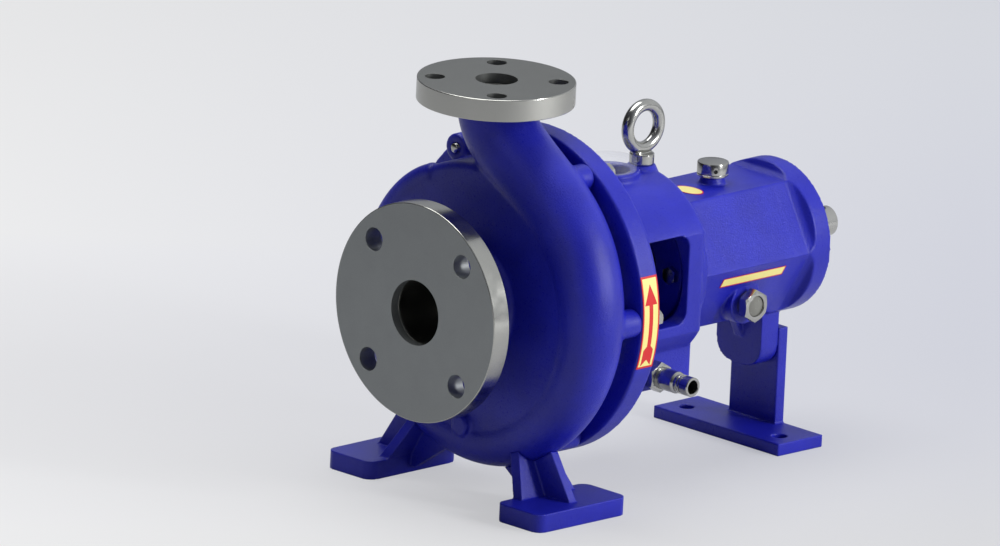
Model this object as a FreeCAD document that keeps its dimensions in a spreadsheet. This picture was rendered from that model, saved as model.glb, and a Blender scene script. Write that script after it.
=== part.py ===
import FreeCAD, Part
import math
import os
import re
import Sketcher
from FreeCAD import Placement, Rotation, Vector

# End suction process pump, millimetres. X runs along the shaft from the suction
# flange to the coupling end, Z is up and the discharge nozzle stands over the origin.
# The origin is the middle of the casing feet on the base plane.

os.makedirs("parts", exist_ok=True)
doc = FreeCAD.newDocument("ProcessPump")
sheet = doc.addObject("Spreadsheet::Sheet", "Sizes")

SIZES = [
    # frame of the pump
    ("shaft_height", 160.0),
    ("suction_reach", 80.0),
    ("discharge_rise", 180.0),
    ("shaft_reach", 385.0),
    ("seat_gap", 0.3),
    ("fit_gap", 0.05),
    ("bolt_play", 0.5),
    # suction flange
    ("suction_flange_diameter", 177.8),
    ("suction_flange_thickness", 17.5),
    ("suction_bolt_circle", 139.7),
    ("suction_bolt_hole", 19.0),
    ("suction_bore", 53.0),
    ("suction_nozzle_diameter", 68.0),
    ("suction_nozzle_root", 100.0),
    ("suction_socket_depth", 9.5),
    # discharge flange
    ("discharge_flange_diameter", 127.0),
    ("discharge_flange_thickness", 18.0),
    ("discharge_bolt_circle", 98.4),
    ("discharge_bolt_hole", 15.9),
    ("discharge_bore", 34.0),
    ("discharge_spigot_diameter", 46.0),
    ("discharge_socket_depth", 10.0),
    ("flange_bolt_count", 4),
    ("flange_chamfer", 1.2),
    # casing
    ("casing_front", -19.0),
    ("casing_rear", 38.0),
    ("casing_radius", 112.0),
    ("casing_rim_round", 6.0),
    ("chamber_front", -10.0),
    ("chamber_radius", 104.0),
    ("volute_front", -21.0),
    ("volute_wall", 8.0),
    ("volute_first_angle", 60.0),
    ("volute_last_angle", -222.0),
    ("volute_first_tube", 8.5),
    ("volute_last_tube", 29.5),
    ("volute_first_reach", 115.0),
    ("volute_last_reach", 138.0),
    ("neck_radius", 30.5),
    ("neck_length", 18.0),
    ("casing_stud_count", 6),
    ("casing_stud_circle", 244.0),
    ("casing_boss_radius", 11.5),
    ("casing_boss_front", 20.0),
    ("casing_stud_diameter", 8.0),
    ("casing_drain_boss_radius", 9.0),
    ("casing_drain_boss_front", -25.0),
    ("casing_drain_boss_drop", 102.0),
    # casing feet
    ("foot_length", 100.0),
    ("foot_outer", 120.0),
    ("foot_inner", 70.0),
    ("foot_thickness", 15.0),
    ("foot_corner", 9.0),
    ("foot_web_half", 30.0),
    ("foot_web_top_half", 11.5),
    ("foot_web_thickness", 10.0),
    ("foot_web_lean", 27.0),
    ("foot_web_drop", 94.0),
    ("foot_rib_thickness", 8.0),
    ("foot_rib_reach", 108.0),
    ("foot_brace_reach", 62.0),
    # rear cover and seal chamber
    ("cover_lip", 5.0),
    ("cover_spigot", 5.0),
    ("cover_throat_radius", 19.0),
    ("cover_throat_length", 8.0),
    ("seal_chamber_radius", 32.0),
    ("seal_chamber_outer", 42.0),
    ("seal_chamber_end", 92.0),
    ("gland_radius", 55.0),
    ("gland_flange", 8.0),
    ("gland_thickness", 10.0),
    ("gland_bolt_count", 4),
    ("gland_bolt_circle", 97.0),
    ("gland_bolt_diameter", 8.0),
    ("stud_washer", 1.6),
    # adapter and lantern
    ("adapter_thickness", 20.0),
    ("adapter_margin", 10.5),
    ("adapter_register", 60.0),
    ("lantern_end", 178.0),
    ("lantern_radius", 80.0),
    ("lantern_bore", 62.0),
    ("lantern_flat", 69.0),
    ("lantern_wall_front", 174.0),
    ("lantern_wall_rear", 184.0),
    ("lantern_boss_radius", 66.0),
    ("lantern_round", 6.0),
    ("window_front", 75.0),
    ("window_rear", 158.0),
    ("window_drop", 32.0),
    ("window_rise", 41.0),
    ("window_corner", 10.0),
    ("trough_half", 57.0),
    ("trough_drop", 86.0),
    ("trough_front", 95.0),
    ("drain_x", 137.0),
    ("drain_drop", 74.0),
    ("drain_bore", 11.0),
    ("drain_outer", 15.6),
    ("drain_reach", 101.0),
    ("drain_hex_flats", 22.0),
    ("drain_hex_length", 9.0),
    ("inspection_x", 134.0),
    ("inspection_boss_radius", 24.0),
    ("inspection_rise", 84.0),
    ("inspection_hole_radius", 16.5),
    ("guard_radius", 21.3),
    ("guard_height", 9.0),
    ("guard_wall", 2.5),
    # eye bolt
    ("eye_x", 169.5),
    ("eye_rise", 82.5),
    ("eye_boss_sink", 6.0),
    ("eye_collar_radius", 10.0),
    ("eye_collar_height", 9.0),
    ("eye_ring_radius", 17.5),
    ("eye_wire_radius", 5.0),
    ("eye_thread_radius", 5.0),
    ("eye_thread_length", 14.0),
    # bearing housing
    ("housing_apothem", 53.0),
    ("spigot_radius", 47.0),
    ("housing_flange_front", 305.0),
    ("housing_flange_rear", 326.0),
    ("housing_flange_radius", 62.0),
    ("housing_flare", 16.0),
    ("sump_radius", 44.0),
    ("bearing_bore", 36.0),
    ("bearing_width", 19.0),
    ("front_bearing_x", 177.0),
    ("rear_bearing_x", 292.0),
    ("bearing_shoulder", 4.0),
    ("rear_recess_radius", 50.0),
    ("rear_recess_depth", 7.0),
    ("front_cover_radius", 51.0),
    ("front_cover_thickness", 5.5),
    ("front_cover_bolt_count", 6),
    ("front_cover_bolt_circle", 83.0),
    ("rear_cover_thickness", 12.0),
    ("rear_cover_bolt_count", 4),
    ("rear_cover_bolt_circle", 84.0),
    ("cover_bolt_diameter", 8.0),
    ("cover_bolt_flats", 13.0),
    ("cover_bolt_head", 5.3),
    ("cover_bolt_length", 16.0),
    ("seal_lip_radius", 22.0),
    # oil fittings
    ("breather_x", 251.0),
    ("breather_stem_radius", 7.0),
    ("breather_base_radius", 13.5),
    ("breather_base_height", 6.5),
    ("breather_stem_length", 12.0),
    ("breather_collar", 2.0),
    ("breather_cap_radius", 12.6),
    ("breather_cap_height", 11.5),
    ("breather_cap_wall", 2.5),
    ("breather_vent_radius", 1.7),
    ("sight_x", 245.0),
    ("sight_drop", 34.0),
    ("sight_boss_radius", 17.0),
    ("sight_boss_face", 50.0),
    ("sight_hex_flats", 23.5),
    ("sight_hex_length", 8.0),
    ("sight_neck_length", 4.0),
    ("sight_neck_radius", 10.0),
    ("sight_glass_radius", 8.3),
    ("sight_glass_depth", 4.0),
    ("sight_bore", 5.5),
    ("oil_plug_x", 225.0),
    ("oil_plug_diameter", 13.0),
    ("oil_plug_flats", 17.0),
    ("oil_plug_head", 6.0),
    # support foot
    ("pad_front", 290.0),
    ("pad_half", 25.0),
    ("pad_drop", 102.0),
    ("pad_corner", 17.0),
    ("pad_rib_half", 4.5),
    ("pad_rib_reach", 16.0),
    ("pad_rib_drop", 79.0),
    ("leg_thickness", 10.0),
    ("leg_front", 309.0),
    ("leg_half", 26.0),
    ("leg_drop", 71.0),
    ("support_plate_length", 50.0),
    ("support_plate_half", 70.0),
    ("support_plate_thickness", 10.0),
    ("support_hole", 12.0),
    ("support_hole_spread", 104.0),
    ("support_hole_x", 288.0),
    ("support_bolt_drop", 85.0),
    ("support_bolt_diameter", 12.0),
    ("support_bolt_flats", 19.0),
    ("support_bolt_head", 7.5),
    ("support_bolt_depth", 14.0),
    ("support_washer", 2.0),
    # rotor
    ("shaft_end_radius", 12.0),
    ("shaft_seal_radius", 14.0),
    ("shaft_bearing_radius", 15.0),
    ("shaft_middle_radius", 18.5),
    ("shaft_thread_radius", 8.0),
    ("shaft_chamfer", 1.0),
    ("key_width", 8.0),
    ("key_depth", 4.0),
    ("key_length", 36.0),
    ("key_end_gap", 5.0),
    ("impeller_radius", 92.0),
    ("impeller_back", 26.0),
    ("impeller_shroud", 5.0),
    ("impeller_hub_radius", 22.0),
    ("impeller_hub_front", 8.0),
    ("impeller_hub_length", 6.0),
    ("impeller_vane_count", 6),
    ("impeller_vane_thickness", 5.0),
    ("impeller_vane_eye", -8.0),
    ("impeller_vane_tip", -6.0),
    ("impeller_eye_radius", 26.0),
    ("impeller_vane_sweep", 105.0),
    ("impeller_nut_radius", 15.0),
    ("impeller_nut_front", -9.5),
    ("impeller_nut_nose", 11.0),
    ("sleeve_radius", 17.5),
    ("sleeve_end", 112.0),
    ("seal_ring_radius", 26.0),
    ("seal_seat_radius", 25.0),
    ("seal_face_x", 86.0),
    ("seal_ring_length", 12.0),
    ("seal_bellows_length", 20.0),
    ("seal_bellows_folds", 4),
    ("seal_collar_length", 8.0),
    ("deflector_x", 148.0),
    ("deflector_radius", 30.0),
    ("deflector_thickness", 4.0),
    ("inner_race_radius", 21.5),
    ("outer_race_radius", 30.0),
    ("ball_count", 8),
    ("ball_radius", 6.0),
    ("ball_circle", 51.5),
    ("ball_play", 0.15),
    ("cage_thickness", 2.0),
    ("cage_width", 15.0),
    ("locknut_radius", 21.0),
    ("locknut_width", 6.0),
]

for row, (name, value) in enumerate(SIZES, start=1):
    sheet.set(f"A{row}", name)
    sheet.set(f"B{row}", str(value))
    sheet.setAlias(f"B{row}", name)
doc.recompute()

NAMES = {name for name, value in SIZES}
ALONG_X = Rotation(Vector(0, 1, 0), Vector(0, 0, 1), Vector(1, 0, 0), "ZXY")
AGAINST_X = Rotation(Vector(0, -1, 0), Vector(0, 0, 1), Vector(-1, 0, 0), "ZXY")
ALONG_Y = Rotation(Vector(0, 0, 1), Vector(1, 0, 0), Vector(0, 1, 0), "ZXY")
AGAINST_Y = Rotation(Vector(1, 0, 0), Vector(0, 0, 1), Vector(0, -1, 0), "ZXY")
UPRIGHT = Rotation()
nodes = []


def size(name):
    """The number that a sheet cell holds."""
    return float(getattr(sheet, name))


def bound(text):
    """An expression written with cell names, made to point at the sheet."""

    def pointed(word):
        return "Sizes." + word.group(0) if word.group(0) in NAMES else word.group(0)

    return re.sub(r"[a-z][a-z_]+", pointed, text)


def bind(thing, **expressions):
    """Bind properties to expressions; a double underscore stands for a dot."""
    for prop, text in expressions.items():
        thing.setExpression(prop.replace("__", "."), bound(str(text)))
    return thing


def put(thing, x="0", y="0", z="0", turn=UPRIGHT):
    """Turn a thing and bind its place."""
    thing.Placement = Placement(Vector(), turn)
    return bind(thing, Placement__Base__x=x, Placement__Base__y=y, Placement__Base__z=z)


def node(thing, label):
    """Name a finished piece; the label also names its file."""
    thing.Label = label
    nodes.append(thing)
    return thing


def rod(radius, length, x="0", y="0", z="0", turn=UPRIGHT):
    thing = doc.addObject("Part::Cylinder", "Rod")
    bind(thing, Radius=radius, Height=length)
    return put(thing, x, y, z, turn)


def cone(radius_one, radius_two, length, x="0", y="0", z="0", turn=UPRIGHT):
    thing = doc.addObject("Part::Cone", "Cone")
    bind(thing, Radius1=radius_one, Radius2=radius_two, Height=length)
    return put(thing, x, y, z, turn)


def block(length, width, height, x="0", y="0", z="0"):
    thing = doc.addObject("Part::Box", "Block")
    bind(thing, Length=length, Width=width, Height=height)
    return put(thing, x, y, z)


def prism(flats, length, x="0", y="0", z="0", turn=UPRIGHT):
    thing = doc.addObject("Part::Prism", "Prism")
    thing.Polygon = 6
    bind(thing, Circumradius=f"({flats}) / sqrt(3)", Height=length)
    return put(thing, x, y, z, turn)


def torus(ring_radius, wire_radius, x="0", y="0", z="0", turn=UPRIGHT):
    thing = doc.addObject("Part::Torus", "Torus")
    bind(thing, Radius1=ring_radius, Radius2=wire_radius)
    return put(thing, x, y, z, turn)


def tapered(foot, head, low, high):
    """A tapered post: foot and head are (x from, x to, y from, y to)."""
    thing = doc.addObject("Part::Wedge", "Post")
    bind(thing, Xmin=foot[0], Xmax=foot[1], Zmin=f"-({foot[3]})", Zmax=f"-({foot[2]})")
    bind(thing, X2min=head[0], X2max=head[1], Z2min=f"-({head[3]})", Z2max=f"-({head[2]})")
    bind(thing, Ymin="0", Ymax=f"({high}) - ({low})")
    lay = Rotation(Vector(1, 0, 0), Vector(0, 0, 1), Vector(0, -1, 0), "ZXY")
    return put(thing, z=low, turn=lay)


def fuse(*pieces):
    if len(pieces) == 1:
        return pieces[0]
    thing = doc.addObject("Part::MultiFuse", "Fuse")
    thing.Shapes = list(pieces)
    thing.Refine = True
    return thing


def cut(base, *tools):
    thing = doc.addObject("Part::Cut", "Cut")
    thing.Base = base
    thing.Tool = fuse(*tools)
    thing.Refine = True
    return thing


def group(*pieces):
    thing = doc.addObject("Part::Compound", "Group")
    thing.Links = list(pieces)
    return thing


def rounded(base, radius, wanted):
    """Fillet the edges of base that the test wanted picks."""
    doc.recompute()
    picked = [i for i, edge in enumerate(base.Shape.Edges, start=1) if wanted(edge)]
    thing = doc.addObject("Part::Fillet", "Rounded")
    thing.Base = base
    thing.Edges = [(i, radius, radius) for i in picked]
    return thing


def outline(body, plane, points):
    """A closed sketch of straight lines whose corners are bound to the sheet."""
    sketch = body.newObject("Sketcher::SketchObject", "Outline")
    sketch.AttachmentSupport = [(next(f for f in body.Origin.OriginFeatures if f.Role == plane), "")]
    sketch.MapMode = "FlatFace"
    count = len(points)
    for i in range(count):
        here, there = 2 * math.pi * i / count, 2 * math.pi * (i + 1) / count
        start = Vector(50 + 20 * math.cos(here), 50 + 20 * math.sin(here), 0)
        stop = Vector(50 + 20 * math.cos(there), 50 + 20 * math.sin(there), 0)
        sketch.addGeometry(Part.LineSegment(start, stop), False)
    for i in range(count):
        sketch.addConstraint(Sketcher.Constraint("Coincident", i, 2, (i + 1) % count, 1))
    for i, (along, across) in enumerate(points):
        for kind, text, axis in (("DistanceX", along, -2), ("DistanceY", across, -1)):
            if str(text) == "0":
                sketch.addConstraint(Sketcher.Constraint("PointOnObject", i, 1, axis))
                continue
            place = sketch.addConstraint(Sketcher.Constraint(kind, -1, 1, i, 1, 10.0))
            sketch.setExpression(f"Constraints[{place}]", bound(str(text)))
    return sketch


def turned(profile, x="0", y="0", z="shaft_height", upright=False):
    """A piece turned about its own axis; profile corners are (along, radius)."""
    body = doc.addObject("PartDesign::Body", "Turned")
    corners = [(radius, along) for along, radius in profile] if upright else profile
    sketch = outline(body, "XZ_Plane", corners)
    turn = body.newObject("PartDesign::Revolution", "Turn")
    turn.Profile = sketch
    turn.ReferenceAxis = (sketch, ["V_Axis" if upright else "H_Axis"])
    turn.Angle = 360
    sketch.Visibility = False
    return put(body, x, y, z)


def tube(inner, outer, length, x):
    """A plain ring about the shaft axis."""
    return turned([("0", inner), (length, inner), (length, outer), ("0", outer)], x=x)


def around(circle, count, first, make):
    """Pieces on a bolt circle about the shaft axis; make takes a y and a z."""
    made = []
    for i in range(int(size(count))):
        angle = f"({first} + 360 / {count} * {i})"
        made.append(
            make(f"({circle}) / 2 * cos({angle})", f"shaft_height + ({circle}) / 2 * sin({angle})")
        )
    return made


def volute_tube(angle):
    """Centre and radius of the spiral passage's tube at an angle from +Y."""
    first, last = size("volute_first_angle"), size("volute_last_angle")
    share = (first - angle) / (first - last)
    tube_first, tube_last = size("volute_first_tube"), size("volute_last_tube")
    radius = tube_first + (tube_last - tube_first) * share ** 0.8
    reach_first, reach_last = size("volute_first_reach"), size("volute_last_reach")
    reach = reach_first + (reach_last - reach_first) * (1 - (1 - share) ** 3)
    turn = math.radians(angle)
    centre = Vector(
        size("volute_front") + radius,
        (reach - radius) * math.cos(turn),
        (reach - radius) * math.sin(turn),
    )
    return centre, radius


def spiral_stations(first, steps):
    """Stations of the passage from an angle up to the discharge flange."""
    last = size("volute_last_angle")
    angles = [first + (last - first) * i / steps for i in range(steps + 1)]
    stations = [volute_tube(angle) for angle in angles]
    start, radius = stations[-1]
    turn = math.radians(last)
    away = Vector(0, math.sin(turn), -math.cos(turn))
    top = Vector(0, 0, size("discharge_rise") - size("discharge_flange_thickness"))
    bend = 3 * size("neck_length")
    knots = [start, start + away * bend, top - Vector(0, 0, 2 * size("neck_length")), top]
    for share in (0.25, 0.5, 0.75, 0.9, 1.0):
        left = 1 - share
        weights = (left ** 3, 3 * left ** 2 * share, 3 * left * share ** 2, share ** 3)
        centre = Vector()
        for weight, knot in zip(weights, knots):
            centre = centre + knot * weight
        stations.append((centre, radius + (size("neck_radius") - radius) * share))
    return stations


def swept(stations, slimmer, end_radius=None):
    """A smooth solid through circles that follow the stations."""
    rings = []
    centres = [centre for centre, radius in stations]
    for i, (centre, radius) in enumerate(stations):
        before, after = centres[max(i - 1, 0)], centres[min(i + 1, len(centres) - 1)]
        run = (after - before).normalize()
        if i == len(stations) - 1:
            run = Vector(0, 0, 1)
        run.x = 0
        wide = radius - slimmer
        if end_radius is not None and i > len(stations) - 5:
            share = (i - len(stations) + 5) / 4
            wide = wide + (end_radius - wide) * share
        ring = Part.makeCircle(wide)
        ring.Placement = Placement(centre, Rotation(Vector(-1, 0, 0), Vector(), run, "ZXY"))
        rings.append(Part.Wire([ring]))
    return Part.makeLoft(rings, True, False)


def along_x(radius, start, stop, y=0.0, z=0.0):
    """A cylinder along X in code; y and z are measured from the shaft axis."""
    return Part.makeCylinder(radius, stop - start, Vector(start, y, z), Vector(1, 0, 0))


def stud_place(i):
    turn = 2 * math.pi * i / size("casing_stud_count")
    arm = size("casing_stud_circle") / 2
    return arm * math.cos(turn), arm * math.sin(turn)


def stud_front(i):
    """How far forward a casing stud reaches: only clear bosses are drilled through."""
    angle = 360 * i / size("casing_stud_count")
    if angle > size("volute_first_angle"):
        angle -= 360
    centre, radius = volute_tube(max(angle, size("volute_last_angle")))
    through = centre.x + radius < size("casing_boss_front")
    return size("casing_boss_front") - 2 if through else size("casing_rear") - 6


# Casing: front disc, growing spiral tube, swan neck, suction nozzle and stud bosses.
# It is built about the shaft axis and then raised to the shaft's height.
cover_face = size("casing_rear") + size("cover_lip")
disc = along_x(size("casing_radius"), size("casing_front"), size("casing_rear"))
rim = [edge for edge in disc.Edges if abs(edge.CenterOfMass.x - size("casing_front")) < 0.01]
disc = disc.makeFillet(size("casing_rim_round"), rim)
outer_stations = spiral_stations(size("volute_first_angle"), 12)
outer_tube = swept(outer_stations, 0.0)
start_centre, start_radius = outer_stations[0]
tongue = Part.makeSphere(start_radius, start_centre)
flange_back = -size("suction_reach") + size("suction_flange_thickness")
socket_end = flange_back - size("suction_socket_depth")
nozzle_radius = size("suction_nozzle_diameter") / 2
nozzle = Part.makeCone(
    nozzle_radius,
    size("suction_nozzle_root") / 2,
    size("casing_front") - flange_back + 1,
    Vector(flange_back, 0, 0),
    Vector(1, 0, 0),
)
spigot = along_x(nozzle_radius - size("fit_gap"), socket_end, flange_back)
neck_top = size("discharge_rise") - size("discharge_flange_thickness")
collar = Part.makeCylinder(
    size("discharge_spigot_diameter") / 2 - size("fit_gap"),
    size("discharge_socket_depth") + 1,
    Vector(0, 0, neck_top - 1),
)
drain_boss = along_x(
    size("casing_drain_boss_radius"),
    size("casing_drain_boss_front"),
    0.0,
    z=-size("casing_drain_boss_drop"),
)
form = disc.fuse([outer_tube, tongue, nozzle, spigot, collar, drain_boss])
bosses = []
for i in range(int(size("casing_stud_count"))):
    y, z = stud_place(i)
    bosses.append(along_x(size("casing_boss_radius"), size("casing_boss_front"), cover_face, y, z))
form = form.fuse(bosses)
casing_form = doc.addObject("Part::Feature", "CasingForm")
casing_form.Shape = form
put(casing_form, z="shaft_height")

inner_stations = spiral_stations(size("volute_first_angle") - 35, 10)
passage = swept(inner_stations, size("volute_wall"), size("discharge_bore") / 2)
chamber = along_x(size("chamber_radius"), size("chamber_front"), size("casing_rear") + 1)
inlet = along_x(size("suction_bore") / 2, socket_end - 1, size("chamber_front") + 1)
outlet = Part.makeCylinder(
    size("discharge_bore") / 2,
    size("discharge_socket_depth") + 4,
    Vector(0, 0, neck_top - 2),
)
holes = []
for i in range(int(size("casing_stud_count"))):
    y, z = stud_place(i)
    radius = size("casing_stud_diameter") / 2 + size("fit_gap")
    holes.append(along_x(radius, stud_front(i) - 1, cover_face + 1, y, z))
casing = doc.addObject("Part::Feature", "Casing")
lip_room = along_x(size("casing_radius") + size("seat_gap"), size("casing_rear"), cover_face + 1)
casing.Shape = form.cut([passage, chamber, inlet, outlet, lip_room] + holes)
node(put(casing, z="shaft_height"), "volute_casing")


def casing_foot(side, label):
    """One casing foot: plate, leaning web and cross rib, trimmed to the casing."""

    def across(inner, outer):
        return (inner, outer) if side > 0 else (f"-({outer})", f"-({inner})")

    near, far = across("foot_inner", "foot_outer")
    base = block("foot_length", "foot_outer - foot_inner", "foot_thickness", "-foot_length / 2", near)
    base = rounded(
        base,
        size("foot_corner"),
        lambda edge: abs(edge.BoundBox.ZLength - size("foot_thickness")) < 0.01,
    )
    web_foot = ("-foot_web_half", "foot_web_half") + across(
        "foot_inner",
        "foot_inner + foot_web_thickness",
    )
    web_head = ("-foot_web_top_half", "foot_web_top_half")
    web_head += across("foot_inner - foot_web_lean", "foot_inner - foot_web_lean + foot_web_thickness")
    web = tapered(web_foot, web_head, "foot_thickness", "(shaft_height - foot_web_drop)")
    half = "foot_rib_thickness / 2"
    rib_foot = (f"-{half}", half) + across("foot_inner + 2", "foot_rib_reach")
    rib_head = (f"-{half}", half) + across(
        "foot_inner - foot_web_lean",
        "foot_inner + foot_web_thickness / 2",
    )
    rib = tapered(rib_foot, rib_head, "foot_thickness", "(shaft_height - foot_web_drop)")
    brace_foot = (f"-{half}", half) + across("foot_inner - 4", "foot_inner + 4")
    brace_head = (f"-{half}", half) + across(
        "foot_inner - foot_brace_reach",
        "foot_inner - foot_web_lean / 2",
    )
    brace = tapered(brace_foot, brace_head, "foot_thickness / 3", "(shaft_height - foot_web_drop) - 20")
    stud_room = around(
        "casing_stud_circle",
        "casing_stud_count",
        "0",
        lambda y, z: rod(
            "casing_stud_diameter / 2 + seat_gap",
            "casing_rear - casing_boss_front + casing_stud_diameter",
            "casing_boss_front - casing_stud_diameter",
            y,
            z,
            ALONG_X,
        ),
    )
    body = cut(fuse(base, web, rib, brace), casing_form, *stud_room)
    return node(body, label)


casing_foot(1, "casing_foot_left")
casing_foot(-1, "casing_foot_right")


def holed(body, circle, hole, thickness, start, upright):
    """Drill the flange bolt holes, straddling the centre lines."""
    drills = []
    for i in range(int(size("flange_bolt_count"))):
        angle = f"(180 / flange_bolt_count + 360 / flange_bolt_count * {i})"
        a, b = f"{circle} / 2 * cos({angle})", f"{circle} / 2 * sin({angle})"
        if upright:
            drills.append(rod(f"{hole} / 2", f"{thickness} + 2", a, b, f"{start} - 1"))
        else:
            drills.append(
                rod(
                    f"{hole} / 2",
                    f"{thickness} + 2",
                    f"{start} - 1",
                    a,
                    f"shaft_height + {b}",
                    ALONG_X,
                )
            )
    return cut(body, *drills)


def flange_profile(diameter, thickness, bore, spigot, depth):
    """Flat faced flange with a bore and a socket for the nozzle at its back."""
    return [
        ("0", f"{bore} / 2"),
        ("0", f"{diameter} / 2 - flange_chamfer"),
        ("flange_chamfer", f"{diameter} / 2"),
        (f"{thickness} - flange_chamfer", f"{diameter} / 2"),
        (thickness, f"{diameter} / 2 - flange_chamfer"),
        (thickness, f"{spigot} / 2"),
        (f"{thickness} - {depth}", f"{spigot} / 2"),
        (f"{thickness} - {depth}", f"{bore} / 2"),
    ]


suction_ring = turned(
    flange_profile(
        "suction_flange_diameter",
        "suction_flange_thickness",
        "suction_bore",
        "suction_nozzle_diameter",
        "suction_socket_depth",
    ),
    x="-suction_reach",
)
node(
    holed(
        suction_ring,
        "suction_bolt_circle",
        "suction_bolt_hole",
        "suction_flange_thickness",
        "-suction_reach",
        False,
    ),
    "suction_flange",
)
discharge_profile = flange_profile(
    "discharge_flange_diameter",
    "discharge_flange_thickness",
    "discharge_bore",
    "discharge_spigot_diameter",
    "discharge_socket_depth",
)
discharge_bottom = "shaft_height + discharge_rise - discharge_flange_thickness"
discharge_ring = turned(
    [(f"discharge_flange_thickness - ({along})", radius) for along, radius in discharge_profile],
    z=discharge_bottom,
    upright=True,
)
node(
    holed(
        discharge_ring,
        "discharge_bolt_circle",
        "discharge_bolt_hole",
        "discharge_flange_thickness",
        discharge_bottom,
        True,
    ),
    "discharge_flange",
)

# Rear cover with its seal chamber, held between casing and adapter
rear_cover_turning = turned(
    [
        ("0", "cover_throat_radius"),
        ("0", "chamber_radius - seat_gap"),
        ("cover_spigot", "chamber_radius - seat_gap"),
        ("cover_spigot", "casing_radius"),
        ("cover_spigot + cover_lip", "casing_radius"),
        ("cover_spigot + cover_lip", "adapter_register - fit_gap"),
        ("cover_spigot + cover_lip * 2", "adapter_register - fit_gap"),
        ("cover_spigot + cover_lip * 2", "seal_chamber_outer"),
        ("seal_chamber_end - gland_flange - casing_rear + cover_spigot", "seal_chamber_outer"),
        ("seal_chamber_end - gland_flange - casing_rear + cover_spigot", "gland_radius"),
        ("seal_chamber_end - casing_rear + cover_spigot", "gland_radius"),
        ("seal_chamber_end - casing_rear + cover_spigot", "seal_chamber_radius"),
        ("cover_throat_length", "seal_chamber_radius"),
        ("cover_throat_length", "cover_throat_radius"),
    ],
    x="casing_rear - cover_spigot",
)


def hex_bolt(flats, head, diameter, length, x, y, z, forward):
    """A hexagon head screw along X whose head sits at x, pointing with or against X."""
    turn = ALONG_X if forward else AGAINST_X
    return fuse(
        prism(flats, head, x, y, z, turn),
        rod(f"{diameter} / 2", f"{head} + {length}", x, y, z, turn),
    )


def drilled(body, circle, count, first, radius, start, depth):
    """Drill holes along X on a bolt circle, from start over depth."""
    return cut(
        body,
        *around(circle, count, first, lambda y, z: rod(radius, depth, start, y, z, ALONG_X)),
    )


node(
    drilled(
        rear_cover_turning,
        "gland_bolt_circle",
        "gland_bolt_count",
        "45",
        "gland_bolt_diameter / 2 + fit_gap",
        "seal_chamber_end - gland_flange - 1",
        "gland_flange + 2",
    ),
    "rear_cover",
)

# Studs, washers and nuts that hold casing, rear cover and adapter together
adapter_back = "(casing_rear + cover_lip + adapter_thickness)"
nut_height = "casing_stud_diameter * 0.8"
studs, nuts, washers = [], [], []
for i in range(int(size("casing_stud_count"))):
    angle = f"(360 / casing_stud_count * {i})"
    y = f"casing_stud_circle / 2 * cos({angle})"
    z = f"shaft_height + casing_stud_circle / 2 * sin({angle})"
    through = stud_front(i) < size("casing_boss_front")
    start = "casing_boss_front - 2" if through else "casing_rear - 6"
    end = f"{adapter_back} + casing_stud_diameter * 1.4"
    studs.append(rod("casing_stud_diameter / 2", f"{end} - ({start})", start, y, z, ALONG_X))
    washers.append(
        cut(
            rod("casing_stud_diameter", "stud_washer", adapter_back, y, z, ALONG_X),
            rod(
                "casing_stud_diameter / 2 + fit_gap",
                "stud_washer + 2",
                f"{adapter_back} - 1",
                y,
                z,
                ALONG_X,
            ),
        )
    )
    nut_start = f"{adapter_back} + stud_washer"
    nuts.append(
        cut(
            prism("casing_stud_diameter * 1.625", nut_height, nut_start, y, z, ALONG_X),
            rod(
                "casing_stud_diameter / 2 + fit_gap",
                f"{nut_height} + 2",
                f"{nut_start} - 1",
                y,
                z,
                ALONG_X,
            ),
        )
    )
node(group(*studs), "casing_studs")
node(group(*washers), "casing_stud_washers")
node(group(*nuts), "casing_stud_nuts")

# Adapter: stud flange and lantern in one casting
lantern_start = "casing_rear + cover_lip"
adapter_solid = fuse(
    rod(
        "(casing_stud_circle / 2 + adapter_margin)",
        "adapter_thickness",
        lantern_start,
        "0",
        "shaft_height",
        ALONG_X,
    ),
    rounded(
        cut(
            rod(
                "lantern_radius",
                f"lantern_end - ({lantern_start})",
                lantern_start,
                "0",
                "shaft_height",
                ALONG_X,
            ),
            block(
                "lantern_end",
                "lantern_radius",
                "lantern_radius * 2",
                adapter_back,
                "lantern_flat",
                "shaft_height - lantern_radius",
            ),
            block(
                "lantern_end",
                "lantern_radius",
                "lantern_radius * 2",
                adapter_back,
                "-lantern_flat - lantern_radius",
                "shaft_height - lantern_radius",
            ),
        ),
        size("lantern_round"),
        lambda edge: abs(edge.BoundBox.XMin - size("lantern_end")) < 0.01 and edge.BoundBox.XLength < 0.01,
    ),
    rod(
        "lantern_boss_radius",
        "lantern_wall_rear - window_rear",
        "window_rear",
        "0",
        "shaft_height",
        ALONG_X,
    ),
    block(
        "lantern_end - trough_front",
        "trough_half * 2",
        "trough_drop",
        "trough_front",
        "-trough_half",
        "(shaft_height - trough_drop)",
    ),
    rod("inspection_boss_radius", "inspection_rise", "inspection_x", "0", "shaft_height"),
    cone(
        "eye_collar_radius * 1.5",
        "eye_collar_radius * 1.1",
        "eye_rise - lantern_radius + eye_boss_sink",
        "eye_x",
        "0",
        "shaft_height + lantern_radius - eye_boss_sink",
    ),
)
window = rounded(
    block(
        "window_rear - window_front",
        "lantern_radius * 4",
        "window_rise + window_drop",
        "window_front",
        "-lantern_radius * 2",
        "(shaft_height - window_drop)",
    ),
    size("window_corner"),
    lambda edge: edge.BoundBox.YLength > 1,
)
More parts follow.
